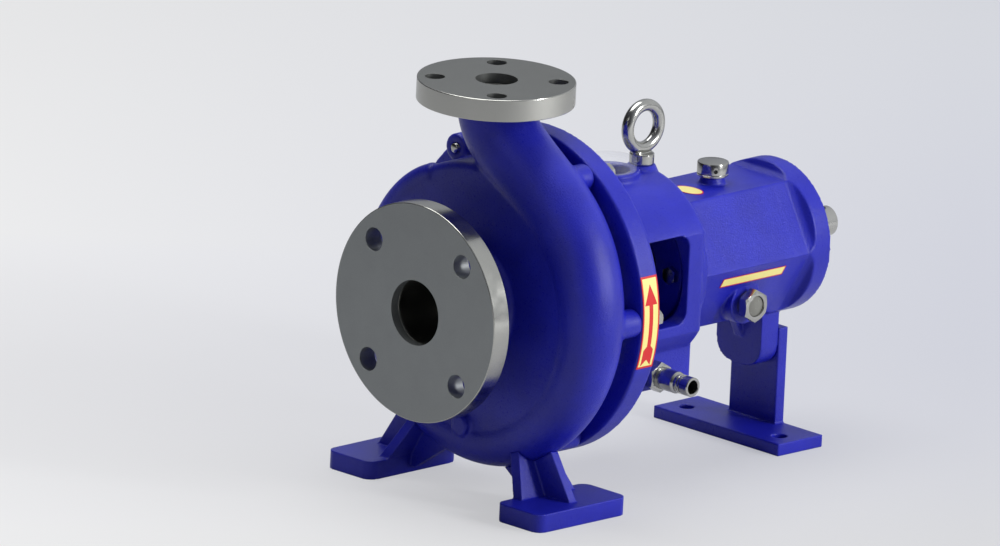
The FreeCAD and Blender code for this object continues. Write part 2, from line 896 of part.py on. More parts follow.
adapter_bores = [
    rod(
        "lantern_bore",
        f"lantern_wall_front - ({adapter_back})",
        adapter_back,
        "0",
        "shaft_height",
        ALONG_X,
    ),
    rod(
        "adapter_register",
        "adapter_thickness + 2",
        f"{lantern_start} - 1",
        "0",
        "shaft_height",
        ALONG_X,
    ),
    rod("spigot_radius + fit_gap", "30", "lantern_wall_front - 1", "0", "shaft_height", ALONG_X),
    rod("inspection_hole_radius", "100", "inspection_x", "0", "shaft_height"),
    rod(
        "eye_thread_radius + fit_gap",
        "eye_thread_length + 2",
        "eye_x",
        "0",
        "(shaft_height + eye_rise) - eye_thread_length - 1",
    ),
    rod(
        "drain_bore / 2",
        "trough_half",
        "drain_x",
        "-trough_half - 1",
        "(shaft_height - drain_drop)",
        ALONG_Y,
    ),
    rod("drain_bore / 2", "drain_drop", "drain_x", "0", "(shaft_height - drain_drop)"),
    window,
]
adapter_bores += around(
    "casing_stud_circle",
    "casing_stud_count",
    "0",
    lambda y, z: rod(
        "casing_stud_diameter / 2 + bolt_play",
        "adapter_thickness + 2",
        f"{lantern_start} - 1",
        y,
        z,
        ALONG_X,
    ),
)
node(cut(adapter_solid, *adapter_bores), "adapter_lantern")

# Clear guard over the inspection hole, pushed into the hole
node(
    turned(
        [
            ("0 - 5", "inspection_hole_radius - seat_gap - guard_wall"),
            ("0 - 5", "inspection_hole_radius - seat_gap"),
            ("0", "inspection_hole_radius - seat_gap"),
            ("0", "guard_radius"),
            ("guard_height", "guard_radius"),
            ("guard_height", "0"),
            ("guard_height - guard_wall", "0"),
            ("guard_height - guard_wall", "inspection_hole_radius - seat_gap - guard_wall"),
        ],
        x="inspection_x",
        z="(shaft_height + inspection_rise)",
        upright=True,
    ),
    "inspection_guard",
)

# Eye bolt, its ring in the plane of the shaft
node(
    fuse(
        torus(
            "eye_ring_radius",
            "eye_wire_radius",
            "eye_x",
            "0",
            "(shaft_height + eye_rise) + eye_collar_height + eye_ring_radius + eye_wire_radius - 1",
            ALONG_Y,
        ),
        rod("eye_collar_radius", "eye_collar_height", "eye_x", "0", "(shaft_height + eye_rise)"),
        rod(
            "eye_thread_radius",
            "eye_thread_length + 1",
            "eye_x",
            "0",
            "(shaft_height + eye_rise) - eye_thread_length",
        ),
    ),
    "eye_bolt",
)

# Drain nipple for a hose, screwed into the lantern trough
nipple = fuse(
    prism(
        "drain_hex_flats",
        "drain_hex_length",
        "drain_x",
        "-trough_half",
        "(shaft_height - drain_drop)",
        AGAINST_Y,
    ),
    rod(
        "drain_outer / 2 - 0.4",
        "drain_reach - trough_half",
        "drain_x",
        "-trough_half",
        "(shaft_height - drain_drop)",
        AGAINST_Y,
    ),
    cone(
        "drain_outer / 2",
        "drain_outer / 2 - 0.4",
        "6",
        "drain_x",
        "-drain_reach + 22",
        "(shaft_height - drain_drop)",
        AGAINST_Y,
    ),
    rod(
        "drain_outer / 2",
        "6",
        "drain_x",
        "-drain_reach + 6",
        "(shaft_height - drain_drop)",
        AGAINST_Y,
    ),
)
node(
    cut(
        nipple,
        rod(
            "drain_bore / 2",
            "drain_reach * 2",
            "drain_x",
            "-trough_half + 1",
            "(shaft_height - drain_drop)",
            AGAINST_Y,
        ),
    ),
    "drain_nipple",
)

# Bearing housing: hexagonal barrel with a front spigot and a round rear flange
hex_front = "lantern_wall_rear"
flare_front = "(housing_flange_front - housing_flare)"
flare_ends = []
for flats, x in (
    ("housing_apothem * 2", flare_front),
    ("housing_flange_radius * 2", "housing_flange_front"),
):
    hexagon = doc.addObject("Part::RegularPolygon", "Hexagon")
    hexagon.Polygon = 6
    bind(hexagon, Circumradius=f"{flats} / sqrt(3)")
    flare_ends.append(put(hexagon, x, "0", "shaft_height", ALONG_X))
flare = doc.addObject("Part::Loft", "Flare")
flare.Sections = flare_ends
flare.Solid = True
flare.Ruled = True
housing_flare = doc.addObject("Part::MultiCommon", "RoundedFlare")
housing_flare.Shapes = [
    flare,
    rod("housing_flange_radius", "housing_flare", flare_front, "0", "shaft_height", ALONG_X),
]
pad_rib = tapered(
    ("pad_front - 1", "pad_front + 2", "-pad_rib_half", "pad_rib_half"),
    ("pad_front - pad_rib_reach", "pad_front + 2", "-pad_rib_half", "pad_rib_half"),
    "shaft_height - pad_rib_drop",
    "shaft_height - housing_apothem + 2",
)
housing_solid = fuse(
    prism(
        "housing_apothem * 2",
        f"housing_flange_rear - {hex_front} - 1",
        hex_front,
        "0",
        "shaft_height",
        ALONG_X,
    ),
    rod(
        "spigot_radius",
        f"{hex_front} - lantern_wall_front + 1",
        "lantern_wall_front",
        "0",
        "shaft_height",
        ALONG_X,
    ),
    rod(
        "housing_flange_radius",
        "housing_flange_rear - housing_flange_front",
        "housing_flange_front",
        "0",
        "shaft_height",
        ALONG_X,
    ),
    housing_flare,
    cone(
        "breather_base_radius",
        "breather_stem_radius + 2",
        "breather_base_height + 10",
        "breather_x",
        "0",
        "shaft_height + housing_apothem - 10",
    ),
    rod(
        "sight_boss_radius",
        "sight_boss_face",
        "sight_x",
        "-sight_boss_face",
        "(shaft_height - sight_drop)",
        ALONG_Y,
    ),
    rounded(
        block(
            "leg_front - pad_front",
            "pad_half * 2",
            "pad_drop",
            "pad_front",
            "-pad_half",
            "(shaft_height - pad_drop)",
        ),
        size("pad_corner"),
        lambda edge: edge.BoundBox.XLength > 1 and edge.BoundBox.ZMax < size("shaft_height") - size("pad_drop") + 1,
    ),
    pad_rib,
)
breather_seat = "shaft_height + housing_apothem + breather_base_height"
housing_bores = [
    rod("sump_radius", "rear_bearing_x - front_bearing_x - bearing_width - bearing_shoulder * 2",
        "front_bearing_x + bearing_width + bearing_shoulder", "0", "shaft_height", ALONG_X),
    rod(
        "outer_race_radius + 1",
        "rear_bearing_x - front_bearing_x",
        "front_bearing_x",
        "0",
        "shaft_height",
        ALONG_X,
    ),
    rod("bearing_bore + fit_gap", "front_bearing_x + bearing_width - lantern_wall_front + 1",
        "lantern_wall_front - 1", "0", "shaft_height", ALONG_X),
    rod(
        "bearing_bore + fit_gap",
        "housing_flange_rear - rear_bearing_x",
        "rear_bearing_x",
        "0",
        "shaft_height",
        ALONG_X,
    ),
    rod("rear_recess_radius + seat_gap", "rear_recess_depth + 1", "housing_flange_rear - rear_recess_depth",
        "0", "shaft_height", ALONG_X),
    rod("breather_stem_radius - 2", "60", "breather_x", "0", "shaft_height"),
    rod(
        "sight_bore",
        "sight_boss_face",
        "sight_x",
        "-sight_boss_face - 1",
        "(shaft_height - sight_drop)",
        ALONG_Y,
    ),
    rod(
        "oil_plug_diameter / 2 + fit_gap",
        "60",
        "oil_plug_x",
        "0",
        "shaft_height - housing_apothem - 1",
    ),
    rod(
        "support_bolt_diameter / 2 + fit_gap",
        "leg_front - pad_front",
        "pad_front + 3",
        "0",
        "(shaft_height - support_bolt_drop)",
        ALONG_X,
    ),
]
housing_bores += around(
    "front_cover_bolt_circle",
    "front_cover_bolt_count",
    "0",
    lambda y, z: rod(
        "cover_bolt_diameter / 2 + fit_gap",
        "cover_bolt_length",
        "lantern_wall_front - 1",
        y,
        z,
        ALONG_X,
    ),
)
housing_bores += around(
    "rear_cover_bolt_circle",
    "rear_cover_bolt_count",
    "45",
    lambda y, z: rod("cover_bolt_diameter / 2 + fit_gap", "cover_bolt_length",
                     "housing_flange_rear - rear_recess_depth - cover_bolt_length + 1", y, z, ALONG_X),
)
node(cut(housing_solid, *housing_bores), "bearing_housing")

# Bearing covers with their screws and oil seals
front_cover = turned(
    [
        ("0", "seal_lip_radius"),
        ("0", "front_cover_radius"),
        ("front_cover_thickness", "front_cover_radius"),
        ("front_cover_thickness", "bearing_bore - seat_gap"),
        ("front_bearing_x - lantern_wall_front + front_cover_thickness", "bearing_bore - seat_gap"),
        ("front_bearing_x - lantern_wall_front + front_cover_thickness", "seal_lip_radius"),
    ],
    x="lantern_wall_front - front_cover_thickness",
)
front_face = "lantern_wall_front - front_cover_thickness"
node(
    drilled(
        front_cover,
        "front_cover_bolt_circle",
        "front_cover_bolt_count",
        "0",
        "cover_bolt_diameter / 2 + bolt_play",
        f"{front_face} - 1",
        "front_cover_thickness + 2",
    ),
    "front_bearing_cover",
)
node(
    group(
        *around(
            "front_cover_bolt_circle",
            "front_cover_bolt_count",
            "0",
            lambda y, z: hex_bolt("cover_bolt_flats", "cover_bolt_head", "cover_bolt_diameter", "cover_bolt_length",
                                  f"{front_face} - cover_bolt_head", y, z, True),
        )
    ),
    "front_cover_bolts",
)
rear_face = "housing_flange_rear - rear_recess_depth + rear_cover_thickness"
rear_lip = "(housing_flange_rear - rear_recess_depth - rear_bearing_x - bearing_width)"
rear_cover_plate = turned(
    [
        ("0", "outer_race_radius"),
        ("0", "bearing_bore - seat_gap"),
        (rear_lip, "bearing_bore - seat_gap"),
        (rear_lip, "rear_recess_radius"),
        (f"{rear_lip} + rear_cover_thickness", "rear_recess_radius"),
        (f"{rear_lip} + rear_cover_thickness", "seal_lip_radius"),
        (rear_lip, "seal_lip_radius"),
        (rear_lip, "outer_race_radius"),
    ],
    x="rear_bearing_x + bearing_width",
)
node(
    drilled(
        rear_cover_plate,
        "rear_cover_bolt_circle",
        "rear_cover_bolt_count",
        "45",
        "cover_bolt_diameter / 2 + bolt_play",
        "housing_flange_rear - rear_recess_depth - 1",
        "rear_cover_thickness + 2",
    ),
    "rear_bearing_cover",
)
node(
    group(
        *around(
            "rear_cover_bolt_circle",
            "rear_cover_bolt_count",
            "45",
            lambda y, z: hex_bolt("cover_bolt_flats", "cover_bolt_head", "cover_bolt_diameter", "rear_cover_thickness + 8",
                                  f"{rear_face} + cover_bolt_head", y, z, False),
        )
    ),
    "rear_cover_bolts",
)


def oil_seal(x, label):
    inner = "shaft_bearing_radius + fit_gap"
    return node(tube(inner, "seal_lip_radius - fit_gap", "front_cover_thickness", x), label)


oil_seal(front_face, "front_oil_seal")
oil_seal(f"{rear_face} - front_cover_thickness", "rear_oil_seal")


def ball_places(x):
    return around("ball_circle", "ball_count", "0", lambda y, z: (f"{x} + bearing_width / 2", y, z))


def ball_bearing(x, which):
    """Deep groove bearing: two grooved races, a cage and its balls."""
    middle = f"{x} + bearing_width / 2"
    groove = torus("ball_circle / 2", "ball_radius + ball_play", middle, "0", "shaft_height", ALONG_X)
    node(
        cut(tube("shaft_bearing_radius + fit_gap", "inner_race_radius", "bearing_width", x), groove),
        f"{which}_bearing_inner_race",
    )
    groove = torus("ball_circle / 2", "ball_radius + ball_play", middle, "0", "shaft_height", ALONG_X)
    node(
        cut(tube("outer_race_radius", "bearing_bore", "bearing_width", x), groove),
        f"{which}_bearing_outer_race",
    )
    balls = []
    pockets = []
    for place in ball_places(x):
        ball = doc.addObject("Part::Sphere", "Ball")
        bind(ball, Radius="ball_radius")
        balls.append(put(ball, *place))
        pocket = doc.addObject("Part::Sphere", "Pocket")
        bind(pocket, Radius="ball_radius + ball_play")
        pockets.append(put(pocket, *place))
    ring = tube(
        "(ball_circle - cage_thickness) / 2",
        "(ball_circle + cage_thickness) / 2",
        "cage_width",
        f"{middle} - cage_width / 2",
    )
    node(cut(ring, *pockets), f"{which}_bearing_cage")
    node(group(*balls), f"{which}_bearing_balls")


ball_bearing("front_bearing_x", "front")
ball_bearing("rear_bearing_x", "rear")

# Shaft and what turns with it
shaft = turned(
    [
        ("0", "0"),
        ("0", "shaft_thread_radius"),
        (
            "impeller_back + impeller_hub_length - impeller_nut_front - impeller_nut_nose",
            "shaft_thread_radius",
        ),
        (
            "impeller_back + impeller_hub_length - impeller_nut_front - impeller_nut_nose",
            "shaft_seal_radius",
        ),
        ("sleeve_end - impeller_nut_front - impeller_nut_nose", "shaft_seal_radius"),
        ("sleeve_end - impeller_nut_front - impeller_nut_nose", "shaft_bearing_radius"),
        (
            "front_bearing_x + bearing_width - impeller_nut_front - impeller_nut_nose",
            "shaft_bearing_radius",
        ),
        (
            "front_bearing_x + bearing_width - impeller_nut_front - impeller_nut_nose",
            "shaft_middle_radius",
        ),
        ("rear_bearing_x - impeller_nut_front - impeller_nut_nose", "shaft_middle_radius"),
        ("rear_bearing_x - impeller_nut_front - impeller_nut_nose", "shaft_bearing_radius"),
        (f"{rear_face} + 2 - impeller_nut_front - impeller_nut_nose", "shaft_bearing_radius"),
        (f"{rear_face} + 2 - impeller_nut_front - impeller_nut_nose", "shaft_end_radius"),
        ("shaft_reach - shaft_chamfer - impeller_nut_front - impeller_nut_nose", "shaft_end_radius"),
        ("shaft_reach - impeller_nut_front - impeller_nut_nose", "shaft_end_radius - shaft_chamfer"),
        ("shaft_reach - impeller_nut_front - impeller_nut_nose", "0"),
    ],
    x="impeller_nut_front + impeller_nut_nose",
)
keyway = rounded(
    block(
        "key_length",
        "key_width",
        "key_depth + 5",
        "shaft_reach - key_end_gap - key_length",
        "-key_width / 2",
        "shaft_height + shaft_end_radius - key_depth",
    ),
    size("key_width") / 2 - 0.01,
    lambda edge: edge.BoundBox.ZLength > 1,
)
node(cut(shaft, keyway), "shaft")
node(
    tube("shaft_seal_radius + fit_gap", "sleeve_radius", "sleeve_end - impeller_back - impeller_hub_length",
         "impeller_back + impeller_hub_length"),
    "shaft_sleeve",
)


def vane_outline(swing):
    """One vane seen along the shaft: two spirals that are half a thickness apart."""
    eye, tip = size("impeller_eye_radius") - 6, size("impeller_radius") + 2
    sides = []
    for side in (-1, 1):
        curve = []
        for i in range(7):
            share = i / 6
            radius = eye + (tip - eye) * share
            turn = math.radians(swing + size("impeller_vane_sweep") * share ** 0.8)
            turn += side * size("impeller_vane_thickness") / 2 / radius
            curve.append(Vector(0, radius * math.cos(turn), radius * math.sin(turn)))
        spline = Part.BSplineCurve()
        spline.interpolate(curve)
        sides.append((spline.toShape(), curve))
    (one, first), (two, second) = sides
    return Part.Wire(
        [one, Part.makeLine(first[-1], second[-1]), two.reversed(), Part.makeLine(second[0], first[0])]
    )


# Semi open impeller: vanes trimmed by a turned envelope and fused to the shroud
eye_x, tip_x, back_x = size("impeller_vane_eye"), size("impeller_vane_tip"), size("impeller_back")
envelope = Part.Face(
    Part.makePolygon(
        [
            Vector(eye_x, 12, 0),
            Vector(eye_x, size("impeller_eye_radius"), 0),
            Vector(tip_x, size("impeller_radius"), 0),
            Vector(back_x - 1, size("impeller_radius"), 0),
            Vector(back_x - 1, 12, 0),
            Vector(eye_x, 12, 0),
        ]
    )
).revolve(Vector(), Vector(1, 0, 0), 360)
vanes = []
for i in range(int(size("impeller_vane_count"))):
    face = Part.Face(vane_outline(360 * i / size("impeller_vane_count")))
    vane = face.extrude(Vector(back_x - eye_x, 0, 0)).translated(Vector(eye_x, 0, 0))
    vanes.append(vane.common(envelope))
wheel_parts = [
    along_x(size("impeller_radius"), back_x - size("impeller_shroud"), back_x, 0, 0),
    along_x(
        size("impeller_hub_radius"),
        size("impeller_hub_front"),
        back_x + size("impeller_hub_length"),
        0,
        0,
    ),
]
wheel = wheel_parts[0].fuse(wheel_parts[1:] + vanes)
wheel = wheel.cut(along_x(size("shaft_thread_radius") + size("fit_gap"), -100, 100, 0, 0))
impeller = doc.addObject("Part::Feature", "Impeller")
impeller.Shape = wheel
node(put(impeller, z="shaft_height"), "impeller")
nut_length = "(impeller_hub_front - impeller_nut_front)"
node(
    turned(
        [
            ("0", "0"),
            ("2", "impeller_nut_radius / 2"),
            ("8", "impeller_nut_radius * 0.9"),
            (f"{nut_length} - 1", "impeller_nut_radius"),
            (nut_length, "shaft_thread_radius + fit_gap"),
            ("impeller_nut_nose", "shaft_thread_radius + fit_gap"),
            ("impeller_nut_nose", "0"),
        ],
        x="impeller_nut_front",
    ),
    "impeller_nut",
)

# Mechanical seal: seat in the gland, rotating ring, spring and collar on the sleeve
sleeve_fit = "sleeve_radius + fit_gap"
node(
    turned(
        [
            ("0", "seal_seat_radius - 6"),
            ("0", "seal_seat_radius"),
            ("seal_chamber_end - seal_face_x", "seal_seat_radius"),
            ("seal_chamber_end - seal_face_x", "seal_seat_radius - 6"),
        ],
        x="seal_face_x",
    ),
    "seal_seat",
)
ring_start = "seal_face_x - seal_ring_length"
node(tube(sleeve_fit, "seal_ring_radius - 3", "seal_ring_length", ring_start), "seal_ring")
bellows_start = f"({ring_start} - seal_bellows_length)"
folds = [("0", "sleeve_radius + 1")]
for i in range(int(size("seal_bellows_folds"))):
    folds.append((f"seal_bellows_length / seal_bellows_folds * {i}", "seal_ring_radius - 1"))
    folds.append((f"seal_bellows_length / seal_bellows_folds * {i + 0.5}", "seal_ring_radius - 5"))
folds.append(("seal_bellows_length", "seal_ring_radius - 1"))
folds.append(("seal_bellows_length", "sleeve_radius + 1"))
node(turned(folds, x=bellows_start), "seal_bellows")
node(
    tube(sleeve_fit, "seal_ring_radius", "seal_collar_length", f"{bellows_start} - seal_collar_length"),
    "seal_collar",
)
gland = tube("sleeve_radius + 2", "gland_radius", "gland_thickness", "seal_chamber_end")
node(
    drilled(
        gland,
        "gland_bolt_circle",
        "gland_bolt_count",
        "45",
        "gland_bolt_diameter / 2 + bolt_play",
        "seal_chamber_end - 1",
        "gland_thickness + 2",
    ),
    "seal_gland",
)
node(
    group(
        *around(
            "gland_bolt_circle",
            "gland_bolt_count",
            "45",
            lambda y, z: hex_bolt("cover_bolt_flats", "cover_bolt_head", "gland_bolt_diameter",
                                  "gland_thickness + gland_flange",
                                  "seal_chamber_end + gland_thickness + cover_bolt_head", y, z, False),
        )
    ),
    "gland_bolts",
)
node(
    turned(
        [
            ("0", "shaft_bearing_radius + fit_gap"),
            ("0", "shaft_bearing_radius + 5"),
            ("2", "deflector_radius"),
            ("2 + deflector_thickness / 2", "deflector_radius"),
            ("deflector_thickness + 2", "shaft_bearing_radius + 5"),
            ("12", "shaft_bearing_radius + 4"),
            ("12", "shaft_bearing_radius + fit_gap"),
        ],
        x="deflector_x",
    ),
    "shaft_deflector",
)
node(
    tube(
        "shaft_bearing_radius + fit_gap",
        "locknut_radius",
        "locknut_width",
        "rear_bearing_x + bearing_width",
    ),
    "bearing_locknut",
)

# Breather: a stem pressed into the housing carries a cap that lifts off
node(
    turned(
        [
            ("0", "breather_stem_radius - 4"),
            ("0", "breather_stem_radius - 2 - fit_gap"),
            ("breather_stem_length", "breather_stem_radius - 2 - fit_gap"),
            ("breather_stem_length", "breather_cap_radius"),
            ("breather_stem_length + breather_collar", "breather_cap_radius"),
            ("breather_stem_length + breather_collar", "breather_stem_radius - 4"),
        ],
        x="breather_x",
        z=f"{breather_seat} - breather_stem_length",
        upright=True,
    ),
    "breather_stem",
)
cap_height = "(breather_cap_height - breather_collar)"
cap = turned(
    [
        ("0", "breather_cap_radius - breather_cap_wall"),
        ("0", "breather_cap_radius"),
        (f"{cap_height} - 2", "breather_cap_radius"),
        (cap_height, "breather_cap_radius - 2"),
        (cap_height, "0"),
        (f"{cap_height} - breather_cap_wall", "0"),
        (f"{cap_height} - breather_cap_wall", "breather_cap_radius - breather_cap_wall"),
    ],
    x="breather_x",
    z=f"{breather_seat} + breather_collar",
    upright=True,
)
VENT_TURN = Rotation(Vector(0, 0, 1), -34).multiply(AGAINST_Y)
vent = rod(
    "breather_vent_radius",
    "breather_cap_radius",
    "breather_x",
    "0",
    f"{breather_seat} + breather_cap_height / 2",
    VENT_TURN,
)
node(cut(cap, vent), "breather_cap")

# Oil sight glass on the near side of the housing, and the drain plug below
sight_head = "(sight_boss_face + sight_neck_length)"
lens_seat = f"({sight_head} + sight_hex_length - sight_glass_depth)"
ring = fuse(
    rod(
        "sight_neck_radius",
        "sight_neck_length",
        "sight_x",
        "-sight_boss_face",
        "(shaft_height - sight_drop)",
        AGAINST_Y,
    ),
    prism(
        "sight_hex_flats",
        "sight_hex_length",
        "sight_x",
        f"-{sight_head}",
        "(shaft_height - sight_drop)",
        AGAINST_Y,
    ),
)
node(
    cut(
        ring,
        rod(
            "sight_bore",
            "sight_boss_face",
            "sight_x",
            "-sight_boss_face + 1",
            "(shaft_height - sight_drop)",
            AGAINST_Y,
        ),
        rod(
            "sight_glass_radius + fit_gap",
            "20",
            "sight_x",
            f"-{lens_seat}",
            "(shaft_height - sight_drop)",
            AGAINST_Y,
        ),
    ),
    "sight_glass_ring",
)
node(
    rod(
        "sight_glass_radius",
        "sight_glass_depth - 1",
        "sight_x",
        f"-{lens_seat}",
        "(shaft_height - sight_drop)",
        AGAINST_Y,
    ),
    "sight_glass_lens",
)
plug_seat = "(shaft_height - housing_apothem)"
node(
    fuse(
        prism("oil_plug_flats", "oil_plug_head", "oil_plug_x", "0", f"{plug_seat} - oil_plug_head"),
        rod(
            "oil_plug_diameter / 2",
            "oil_plug_head + 12",
            "oil_plug_x",
            "0",
            f"{plug_seat} - oil_plug_head",
        ),
    ),
    "oil_drain_plug",
)

# Support foot under the coupling end of the housing, with its bolt
plate_front = "(leg_front + leg_thickness - support_plate_length)"
plate = block(
    "support_plate_length",
    "support_plate_half * 2",
    "support_plate_thickness",
    plate_front,
    "-support_plate_half",
)
leg = block("leg_thickness", "leg_half * 2", "(shaft_height - leg_drop)", "leg_front", "-leg_half")
foot_drills = [
    rod(
        "support_hole / 2",
        "support_plate_thickness + 2",
        "support_hole_x",
        f"{side} * support_hole_spread / 2",
        "-1",
    )
    for side in (-1, 1)
]
foot_drills.append(
    rod(
        "support_bolt_diameter / 2 + bolt_play",
        "leg_thickness + 2",
        "leg_front - 1",
        "0",
        "(shaft_height - support_bolt_drop)",
        ALONG_X,
    )
)
node(cut(fuse(plate, leg), *foot_drills), "support_foot")
washer_x = "(leg_front + leg_thickness)"
node(
    cut(
        rod(
            "support_bolt_diameter",
            "support_washer",
            washer_x,
            "0",
            "(shaft_height - support_bolt_drop)",
            ALONG_X,
        ),
        rod(
            "support_bolt_diameter / 2 + bolt_play",
            "10",
            f"{washer_x} - 1",
            "0",
            "(shaft_height - support_bolt_drop)",
            ALONG_X,
        ),
    ),
    "support_bolt_washer",
)
node(
    hex_bolt(
        "support_bolt_flats",
        "support_bolt_head",
        "support_bolt_diameter",
        "leg_thickness + support_washer + support_bolt_depth",
        f"{washer_x} + support_washer + support_bolt_head",
        "0",
        "(shaft_height - support_bolt_drop)",
        False,
    ),
    "support_bolt",
)

# Check every piece, then write one file for each
doc.recompute()
broken = [thing.Name for thing in doc.Objects if {"Invalid", "Error"} & set(thing.State)]
broken += [thing.Label for thing in nodes if thing.Shape.isNull() or not thing.Shape.isValid()]
if broken:
    raise ValueError("these did not build: " + ", ".join(broken))
for thing in nodes:
    thing.Shape.exportStep(os.path.join("parts", thing.Label + ".step"))
print(len(nodes), "pieces written")
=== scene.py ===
# %% [markdown]
# # An end suction process pump, dressed for its portrait
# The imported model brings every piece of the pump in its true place, in metres.
# X runs along the shaft towards the coupling, Z is up, and the near side is -Y.
# This lesson gives each piece the surface and the soft edges that the real pump has,
# and never moves a piece: wherever a new mesh stands for one, it sits in the same place.

# %% Load the frame
import bmesh
import bpy
import math
from mathutils import Matrix, Vector


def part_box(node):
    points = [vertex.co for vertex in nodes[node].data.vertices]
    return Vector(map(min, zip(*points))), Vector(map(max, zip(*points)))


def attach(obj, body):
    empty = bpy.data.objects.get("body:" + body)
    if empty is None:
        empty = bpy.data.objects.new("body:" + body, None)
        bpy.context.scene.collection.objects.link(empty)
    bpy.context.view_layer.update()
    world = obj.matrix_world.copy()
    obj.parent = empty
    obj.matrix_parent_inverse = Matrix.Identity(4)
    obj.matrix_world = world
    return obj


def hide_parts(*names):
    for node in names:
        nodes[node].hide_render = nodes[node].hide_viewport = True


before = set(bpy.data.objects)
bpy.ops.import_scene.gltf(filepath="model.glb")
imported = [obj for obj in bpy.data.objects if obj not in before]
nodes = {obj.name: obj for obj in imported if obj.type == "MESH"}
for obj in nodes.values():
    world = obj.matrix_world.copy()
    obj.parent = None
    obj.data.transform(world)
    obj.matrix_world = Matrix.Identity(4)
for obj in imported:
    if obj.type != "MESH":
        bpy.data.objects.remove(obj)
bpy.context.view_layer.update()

MM = 0.001
SHAFT = 0.160

# %% [markdown]
# ## Camera
# The picture was taken without perspective, the way a drawing office shows a product.
# An orthographic camera could be placed by eye, but here the angles come from a fit of the
# feet, flanges and shaft end: 45.8 degrees round, 15.6 degrees up and a slight tilt.

# %% Camera
AROUND, ABOVE, TILT = math.radians(-45.803), math.radians(15.621), math.radians(2.828)
WIDTH, HEIGHT, PER_MM = 1000, 546, 1.25924
ORIGIN_PIXEL = (476.316, 490.728)
CAMERA_DISTANCE, CAMERA_REACH = 2.0, 20.0


def camera_axes():
    """Right, up and backward directions of the camera."""
    back = Vector((
        math.sin(AROUND) * math.cos(ABOVE),
        -math.cos(AROUND) * math.cos(ABOVE),
        math.sin(ABOVE),
    ))
    right = Vector((math.cos(AROUND), math.sin(AROUND), 0.0))
    up = back.cross(right)
    turned_right = right * math.cos(TILT) + up * math.sin(TILT)
    turned_up = up * math.cos(TILT) - right * math.sin(TILT)
    return turned_right, turned_up, back


right, up, back = camera_axes()
camera = bpy.data.objects.new("camera", bpy.data.cameras.new("camera"))
bpy.context.scene.collection.objects.link(camera)
camera.data.type = "ORTHO"
camera.data.ortho_scale = WIDTH / PER_MM * MM
camera.data.clip_end = CAMERA_REACH
aside = (WIDTH / 2 - ORIGIN_PIXEL[0]) / PER_MM * MM
above = (ORIGIN_PIXEL[1] - HEIGHT / 2) / PER_MM * MM
place = right * aside + up * above + back * CAMERA_DISTANCE
camera.matrix_world = Matrix((
    (right.x, up.x, back.x, place.x),
    (right.y, up.y, back.y, place.y),
    (right.z, up.z, back.z, place.z),
    (0.0, 0.0, 0.0, 1.0),
))
bpy.context.scene.camera = camera
print("camera sees", round(camera.data.ortho_scale, 4), "metres across")

# %% [markdown]
# ## Node trees
# Every finish below is a small tree of nodes. Writing each link by hand would bury the idea
# of a finish under plumbing, so a few helpers add a node, feed a socket and do arithmetic.
# All patterns read Object coordinates, which are metres in the frame of the pump, so a
# pattern can follow the axis of a bore or the middle of a label.

# %% Helpers for node trees
def new_material(name):
    material = bpy.data.materials.new(name)
    material.use_nodes = True
    tree = material.node_tree
    tree.nodes.clear()
    return material, tree


def add(tree, kind, **values):
    """A node with its plain properties set."""
    made = tree.nodes.new(kind)
    for name, value in values.items():
        setattr(made, name, value)
    return made


def plug(tree, one, other):
    tree.links.new(one, other)


def feed(tree, value, socket):
    """Link a socket to another node, or set it to a number or a colour."""
    if isinstance(value, bpy.types.NodeSocket):
        plug(tree, value, socket)
    elif socket.type == "RGBA":
        socket.default_value = (*value, 1)
    else:
        socket.default_value = value


def math_node(tree, operation, *values):
    """A Math node fed by sockets or numbers."""
    made = add(tree, "ShaderNodeMath", operation=operation)
    for value, socket in zip(values, made.inputs):
        feed(tree, value, socket)
    return made.outputs[0]


def scaled(tree, value, factor, shift):
    """A value times a factor, plus a shift."""
    return math_node(tree, "ADD", math_node(tree, "MULTIPLY", value, factor), shift)


print("sockets can be fed")

# %% Blends, ramps and the shaded point
def between(tree, value, first, second):
    """Blend two colours by a value."""
    made = add(tree, "ShaderNodeMix", data_type="RGBA")
    for name, given in (("Factor", value), ("A", first), ("B", second)):
        feed(tree, given, made.inputs[name])
    return made.outputs["Result"]


def mix_shaders(tree, share, first, second):
    """The second shader laid over the first, by a share from 0 to 1."""
    made = add(tree, "ShaderNodeMixShader")
    for value, socket in zip((share, first, second), made.inputs):
        feed(tree, value, socket)
    return made.outputs[0]


def ramp(tree, value, stops):
    """A colour ramp; stops are pairs of place and colour."""
    made = add(tree, "ShaderNodeValToRGB")
    made.color_ramp.interpolation = "B_SPLINE"
    elements = made.color_ramp.elements
    while len(elements) < len(stops):
        elements.new(0.5)
    for element, (place, colour) in zip(elements, stops):
        element.position = place
        element.color = (*colour, 1)
    plug(tree, value, made.inputs[0])
    return made.outputs[0]


def object_spot(tree):
    """Sockets X, Y and Z of the shaded point, in metres."""
    parts = add(tree, "ShaderNodeSeparateXYZ")
    plug(tree, add(tree, "ShaderNodeTexCoord").outputs["Object"], parts.inputs[0])
    return parts.outputs


print("blends and ramps ready")

# %% [markdown]
# ## Floor and light
# A studio floor is a sheet of pale board, darker where the light falls off. Lamps alone would
# need many tries to draw that fall, so the camera sees the matt board mixed with a painted
# tone: pale on the left, bluish grey on the right. Every other ray meets plain matt board, so
# the paint of the pump is lit by the lamps and not by the backdrop.

# %% Floor
FLOOR_REACH = 6.0
FLOOR_GREY = (0.62, 0.62, 0.63)
PAINTED_SHARE = 0.60
LEFT_TONES = [
    (0.0, (1.06, 1.06, 1.06)),
    (0.35, (0.80, 0.80, 0.83)),
    (0.7, (1.14, 1.14, 1.14)),
    (1.0, (1.3, 1.3, 1.3)),
]
RIGHT_TONES = [
    (0.0, (0.72, 0.72, 0.70)),
    (0.35, (0.58, 0.60, 0.71)),
    (0.7, (0.70, 0.72, 0.82)),
    (1.0, (0.82, 0.84, 0.9)),
]


